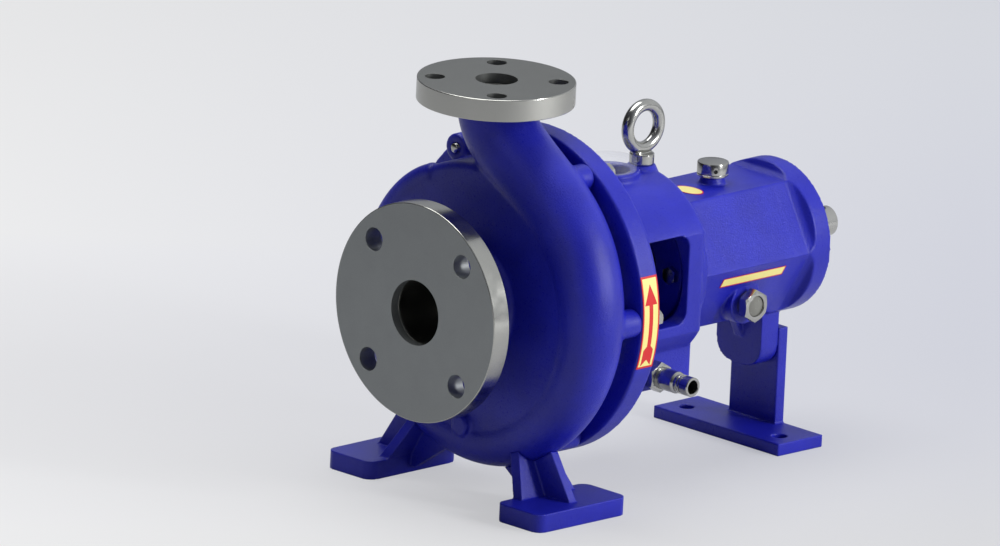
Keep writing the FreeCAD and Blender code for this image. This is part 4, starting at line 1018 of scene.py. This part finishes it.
def stud_profile(start, stop):
    """A rod whose two ends show thread ridges, as (along, radius) pairs."""
    profile = [(start, 0), (start, STUD_RADIUS - 0.6), (start + 0.6, STUD_RADIUS)]
    along = start + 1.2
    while along < stop - 1.2:
        if along < start + FRONT_THREAD or along > stop - REAR_THREAD:
            profile += [(along, STUD_RADIUS), (along + THREAD_PITCH / 2, STUD_RADIUS - 0.55)]
        along += THREAD_PITCH
    return profile + [(stop - 0.6, STUD_RADIUS), (stop, STUD_RADIUS - 0.6), (stop, 0)]


def stud_starts():
    """The front end of each stud in metres, by its place on the circle."""
    starts = {}
    for vertex in nodes["casing_studs"].data.vertices:
        turn = math.degrees(math.atan2(vertex.co.z - SHAFT, vertex.co.y)) % 360
        place = round(turn / 60) % 6
        starts[place] = min(starts.get(place, vertex.co.x), vertex.co.x)
    return starts


nut = mirrored(hexagon("nut", flats=13.0, head=6.4, bore=4.05))
fastener_ring("casing_nut_ring", nut, "casing_stud_nuts",
              count=6, circle=STUD_CIRCLE, first=0, x=NUT_AT)
stud_washer = washer(bore=4.05, outer=8, thickness=1.6, edge=0.2)
fastener_ring("casing_washer_ring", stud_washer, "casing_stud_washers",
              count=6, circle=STUD_CIRCLE, first=0, x=WASHER_AT)
stud_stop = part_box("casing_studs")[1].x
for place, start in sorted(stud_starts().items()):
    rod = crisp(lathe("stud", stud_profile(start / MM, stud_stop / MM), centre=(0, 0, 0), steps=32), 50)
    stands_for = ["casing_studs"] if place == 0 else []
    fastener_ring(f"casing_stud_{place}", rod, *stands_for,
                  count=1, circle=STUD_CIRCLE, first=60 * place, x=0)

# %% [markdown]
# The covers, the gland and the support foot are held by screws. Their heads have a washer
# face below the hexagon. The gland screws sit in the shade of the lantern, where a mirror
# finish would show nothing, so they are dull zinc, which catches some light.

# %% Screws of covers, gland and foot
COVER_HEAD = {"flats": 13, "head": 5.3, "shank_radius": 4, "washer": 6.2}
FOOT_SCREW_Z = 0.075

front_screw = hexagon("screw", shank_length=16, **COVER_HEAD)
fastener_ring("front_cover_screw_ring", front_screw, "front_cover_bolts",
              count=6, circle=41.5, first=0, x=168.5)
rear_screw = mirrored(hexagon("screw", shank_length=20, **COVER_HEAD))
fastener_ring("rear_cover_screw_ring", rear_screw, "rear_cover_bolts",
              count=4, circle=42, first=45, x=331)
gland_screw = mirrored(hexagon("screw", shank_length=18, **COVER_HEAD))
fastener_ring("gland_screw_ring", gland_screw, "gland_bolts",
              count=4, circle=48.5, first=45, x=102, look=ZINC)
foot_screw = hexagon("screw", flats=19, head=7.5, shank_radius=6, shank_length=26, washer=9)
fastener_ring("support_screw", mirrored(foot_screw), "support_bolt",
              count=1, circle=0, first=0, x=321, z=FOOT_SCREW_Z)
foot_washer = washer(bore=6.5, outer=12, thickness=2, edge=0.3)
fastener_ring("support_washer", foot_washer, "support_bolt_washer",
              count=1, circle=0, first=0, x=319, z=FOOT_SCREW_Z)

# %% [markdown]
# ## Lifting eye
# The eye bolt is a forging: the ring runs into the collar without an edge. A voxel skin over
# a copy of the solid gives that flow, as it did for the castings, only on a finer grid.

# %% Lifting eye
casting("forged_eye", "eye_bolt", voxel=0.0006, passes=8, limit=90000, slot="plated_steel", look=PLATE)

# %% [markdown]
# ## Breather, oil sight glass and drain nipple
# These are bought fittings in bright metal. The breather is a push-on cap with a vent hole,
# over a stem with a collar. The sight glass is a hexagon screwed into the housing with a lens
# set in its face, and the nipple ends in barbs that hold a hose.

# %% Breather
CAP_SEAT = Vector((0.251, 0, 0.2215))
STEM_SEAT = Vector((0.251, 0, 0.2075))
VENT_ABOVE_SEAT, VENT_TURN = 0.00375, math.radians(-34)

cap = lathe("breather_cap_turned", [
    (0.0, 10.1), (0.0, 12.2), (0.4, 12.6), (8.7, 12.6), (9.3, 12.3), (9.5, 11.7),
    (9.5, 0), (7.0, 0), (7.0, 10.1)], "Z", CAP_SEAT)
vent = lathe("vent", [(0, 0), (0, 1.7), (13, 1.7), (13, 0)], "Y", (0, 0, 0), steps=24)
to_vent = Matrix.Translation(CAP_SEAT + Vector((0, 0, VENT_ABOVE_SEAT)))
vent.data.transform(to_vent @ Matrix.Rotation(VENT_TURN, 4, "Z"))
take_away(cap, vent)
finish(cap, PLATE, "breather", "plated_steel", "breather_cap")
stem = lathe("breather_stem_turned", [
    (0, 3), (0, 4.95), (12, 4.95), (12, 12.2), (12.4, 12.6), (13.6, 12.6), (14, 12.2), (14, 3)],
    "Z", STEM_SEAT, closed=True)
finish(stem, PLATE, "pump", "machined_steel", "breather_stem")

# %% Oil sight glass
SIGHT = Vector((0.245, 0, 0.126))


def hex_collar(name, flats, start, stop, centre, bore):
    """A hexagon along Y with a chamfered outer face and a bore, in millimetres."""
    pattern = hexagon(name, flats, stop - start, bore=bore)
    pattern.data.transform(Matrix((
        (0, 1, 0, centre.x), (1, 0, 0, -start * MM), (0, 0, 1, centre.z), (0, 0, 0, 1))))
    made = bmesh.new()
    made.from_mesh(pattern.data)
    bpy.data.objects.remove(pattern)
    collar = crisp(closed_up(name, made), 25.0)
    dress(collar, PLATE)
    return collar


collar = hex_collar("sight_hexagon", flats=23.5, start=54, stop=62, centre=SIGHT, bore=8.35)
settle(collar, "pump", "plated_steel", "sight_glass_ring")
neck = lathe("sight_neck", [
    (50, 5.5), (50, 10), (53.4, 10), (54, 9.4), (58, 8.3), (58, 5.5)], "Y", SIGHT, closed=True)
finish(neck, PLATE, "pump", "plated_steel")
lens = lathe("sight_lens", [(58.1, 0), (58.1, 8.2), (60.4, 8.2), (61.0, 7.4), (61.2, 0)],
             "Y", SIGHT, steps=64)
finish(lens, GLASS, "pump", "sight_glass", "sight_glass_lens", edge=50.0)

# %% Drain nipple
DRAIN = Vector((0.137, 0, 0.086))

profile = [(57, 5.5), (57, 6.8), (66, 6.8), (66, 8.6), (66.6, 8.9), (83.4, 8.9), (84, 8.5), (85, 7.2)]
for start in (86, 89):
    profile += [(start, 7.2), (start + 2.2, 7.9), (start + 2.4, 7.2)]
profile += [(93, 7.2), (93.4, 7.9), (100.4, 7.9), (101, 7.3), (101, 6.0), (100.5, 5.5)]
nipple = lathe("drain_nipple_turned", profile, "Y", DRAIN, steps=64, closed=True)
finish(nipple, PLATE, "pump", "nipple_steel", "drain_nipple")
nipple_hex = hex_collar("drain_hexagon", flats=22, start=57, stop=66, centre=DRAIN, bore=6.8)
settle(nipple_hex, "pump", "nipple_steel")

# %% [markdown]
# ## Clear guard
# A clear plastic cap closes the inspection hole on top of the lantern. A flat disc would do
# from above, but from the side the double line of its wall shows, so it is a real shell with
# a skirt that reaches down into the hole.

# %% Clear guard
GUARD_SEAT = Vector((0.134, 0, 0.244))

guard = lathe("clear_guard_cap", [
    (-5, 13.7), (-5, 16.2), (0, 16.2), (0, 21.0), (0.4, 21.3), (8.2, 21.3), (8.8, 21.0), (9, 20.3),
    (9, 0), (6.5, 0), (6.5, 13.7)], "Z", GUARD_SEAT)
finish(guard, CLEAR, "pump", "clear_plastic", "inspection_guard")

# %% [markdown]
# ## Stickers
# Three stickers are on the pump: an arrow on the near rim of the adapter that shows which way
# the shaft turns, a strip over the sight glass and an oval one before the breather. They are
# generic here: the arrow is kept, and the other two are left blank. The arrow could be cut as
# a mesh, but drawing it in the shader with a few comparisons gives sharp edges on a label
# that bends with the rim. Its sideways and upward distances are in millimetres.

# %% Paper and ink
INK_RED, PAPER = (0.66, 0.012, 0.014), (0.90, 0.80, 0.27)


def below(tree, value, limit):
    return math_node(tree, "LESS_THAN", value, limit)


def within(tree, *masks):
    """Where all masks are one."""
    result = masks[0]
    for mask in masks[1:]:
        result = math_node(tree, "MULTIPLY", result, mask)
    return result


def printed_paper(name, draw):
    """Glossy paper with red ink where the mask that draw makes is one."""
    material, tree = new_material(name)
    fibre = grain(tree, 500.0, 2.0)
    surface(
        tree,
        Base_Color=between(tree, draw(tree), PAPER, INK_RED),
        Roughness=span(tree, fibre, 0.30, 0.42),
        Normal=bumped(tree, fibre, 0.1, 0.0001),
    )
    return material


print("red ink on yellow paper")

# %% Arrow
RIM_RADIUS = 0.1325
ARROW_X, ARROW_HALF_WIDTH, ARROW_HALF_HEIGHT = 0.053, 9.0, 38.5
SIDE_BORDER, END_BORDER = 1.4, 1.8
TIP, SHOULDER, TIP_SLOPE = 32.0, 15.0, 0.40
STEM_HALF_WIDTH, STEM_REACH = 2.1, 20.0
TAIL_HALF_WIDTH, TAIL_TOP, TAIL_END = 5.4, -17.0, -31.0


def arrow_ink(tree):
    """Border and arrow: sideways runs along X, upwards along the arc of the rim."""
    spot = object_spot(tree)
    aside = math_node(tree, "MULTIPLY", math_node(tree, "SUBTRACT", spot["X"], ARROW_X), 1 / MM)
    aside = math_node(tree, "ABSOLUTE", aside)
    rise = math_node(tree, "SUBTRACT", spot["Z"], SHAFT)
    near = math_node(tree, "MULTIPLY", spot["Y"], -1)
    upward = math_node(tree, "MULTIPLY", math_node(tree, "ARCTAN2", rise, near), RIM_RADIUS / MM)
    tall = math_node(tree, "ABSOLUTE", upward)
    inside = within(tree, below(tree, aside, ARROW_HALF_WIDTH - SIDE_BORDER),
                    below(tree, tall, ARROW_HALF_HEIGHT - END_BORDER))
    border = math_node(tree, "SUBTRACT", 1.0, inside)
    slope = math_node(tree, "MULTIPLY", math_node(tree, "SUBTRACT", TIP, upward), TIP_SLOPE)
    head = within(tree, below(tree, aside, slope), below(tree, SHOULDER, upward))
    stem = within(tree, below(tree, aside, STEM_HALF_WIDTH), below(tree, tall, STEM_REACH))
    slant = math_node(tree, "ADD", upward, aside)
    tail = within(tree, below(tree, aside, TAIL_HALF_WIDTH), below(tree, slant, TAIL_TOP),
                  below(tree, TAIL_END, slant))
    ink = border
    for mask in (head, stem, tail):
        ink = math_node(tree, "MAXIMUM", ink, mask)
    return ink


ARROW_PAPER = printed_paper("arrow_sticker", arrow_ink)
print("arrow from", TAIL_END, "to", TIP, "mm along the rim")

# %% Strip and oval
STRIP = Vector((0.246, -0.0548, 0.1489))
STRIP_PAPER_HALF_X, STRIP_PAPER_HALF_Z = 0.0342, 0.0034
OVAL = Vector((0.2200, -0.005, 0.213))
OVAL_HALF_X, OVAL_HALF_Y, OVAL_PAPER_SHARE = 0.0085, 0.0140, 0.84


def shares(tree, middle, **halves):
    """How far a point is from the middle of a label, as shares of its half sizes."""
    spot = object_spot(tree)
    found = []
    for letter, half in halves.items():
        gap = math_node(tree, "SUBTRACT", spot[letter], middle["XYZ".index(letter)])
        found.append(math_node(tree, "DIVIDE", gap, half))
    return found


def strip_ink(tree):
    """A red edge round the blank strip."""
    masks = []
    for share in shares(tree, STRIP, X=STRIP_PAPER_HALF_X, Z=STRIP_PAPER_HALF_Z):
        masks.append(below(tree, math_node(tree, "ABSOLUTE", share), 1.0))
    return math_node(tree, "SUBTRACT", 1.0, within(tree, *masks))


def oval_ink(tree):
    """A red edge round the blank oval."""
    across, along = shares(tree, OVAL, X=OVAL_HALF_X, Y=OVAL_HALF_Y)
    squares = [math_node(tree, "MULTIPLY", share, share) for share in (across, along)]
    return below(tree, OVAL_PAPER_SHARE, math_node(tree, "ADD", *squares))


STRIP_PAPER = printed_paper("strip_paper", strip_ink)
OVAL_PAPER = printed_paper("oval_paper", oval_ink)
print("blank labels:", STRIP_PAPER.name, OVAL_PAPER.name)

# %% [markdown]
# The paper itself is a thin closed sheet. A function lays each of its corners on the pump, so
# the same helper serves the curved rim and the sloping flat of the barrel. The oval is a thin
# disc from the lathe, stretched to its two half sizes.

# %% Stickers
PAPER_THICKNESS, PAPER_GAP = 0.00025, 0.0001
STRIP_HALF_X, STRIP_HALF_HEIGHT = 0.035, 0.0047
DOWN_SLOPE, OUT_OF_SLOPE = Vector((0.0, 0.5, -0.866)), Vector((0.0, -0.866, -0.5))


def on_rim(x, part, depth):
    turn = (part * 2 - 1) * ARROW_HALF_HEIGHT * MM / RIM_RADIUS
    radius = RIM_RADIUS + depth
    return (x, -radius * math.cos(turn), SHAFT + radius * math.sin(turn))


def on_slope(x, part, depth):
    down = DOWN_SLOPE * (part * 2 - 1) * STRIP_HALF_HEIGHT
    return Vector((x, STRIP.y, STRIP.z)) + down + OUT_OF_SLOPE * (depth + PAPER_GAP)


def sheet(name, low_side, high_side, rows, lie):
    """A thin closed sheet; lie(side, part, depth) gives each corner's place."""
    made = bmesh.new()
    layers = []
    for depth in (0.0, PAPER_THICKNESS):
        layer = []
        for row in range(rows + 1):
            places = [lie(side, row / rows, depth) for side in (low_side, high_side)]
            layer.append([made.verts.new(place) for place in places])
        layers.append(layer)
    under, over = layers
    for i in range(rows):
        for one, two in ((over[i], over[i + 1]), (under[i + 1], under[i])):
            made.faces.new((one[0], one[1], two[1], two[0]))
        for side in (0, 1):
            made.faces.new((under[i][side], over[i][side], over[i + 1][side], under[i + 1][side]))
    for i in (0, rows):
        made.faces.new((under[i][0], under[i][1], over[i][1], over[i][0]))
    return closed_up(name, made)


half_width = ARROW_HALF_WIDTH * MM
arrow = sheet("arrow_sticker", ARROW_X - half_width, ARROW_X + half_width, 48, on_rim)
finish(arrow, ARROW_PAPER, "pump", None)
strip = sheet("strip_sticker", STRIP.x - STRIP_HALF_X, STRIP.x + STRIP_HALF_X, 1, on_slope)
finish(strip, STRIP_PAPER, "pump", None)
oval = lathe("oval_sticker", [(0.02, 0), (0.02, 1), (0.3, 1), (0.3, 0)], "Z", (0, 0, 0), steps=64)
stretch = Matrix.Diagonal((OVAL_HALF_X / MM, OVAL_HALF_Y / MM, 1, 1))
oval.data.transform(Matrix.Translation(OVAL) @ stretch)
finish(oval, OVAL_PAPER, "pump", None)

# %% [markdown]
# ## Inner pieces
# The bearings, seals, gland and impeller keep the shape of their solids and get the finish
# that each has on a real pump, because they show only through the suction bore, the windows
# or when the pump is opened. The gland is painted like the lantern round it.

# %% Finishes of the inner pieces
INNER = {
    "rear_cover": CAST_STEEL,
    "impeller": CAST_STEEL,
    "impeller_nut": SHAFT_STEEL,
    "seal_gland": BLUE,
    "seal_seat": CARBON,
    "seal_ring": CARBON,
    "seal_bellows": RUBBER,
    "seal_collar": SHAFT_STEEL,
    "shaft_deflector": RUBBER,
    "front_oil_seal": RUBBER,
    "rear_oil_seal": RUBBER,
    "bearing_locknut": SHAFT_STEEL,
    "oil_drain_plug": PLATE,
}
for end in ("front", "rear"):
    for piece in ("inner_race", "outer_race", "balls"):
        INNER[f"{end}_bearing_{piece}"] = BALL_STEEL
    INNER[f"{end}_bearing_cage"] = BRASS
for name, material in INNER.items():
    dress(nodes[name], material)
print("finished inner pieces:", len(INNER))
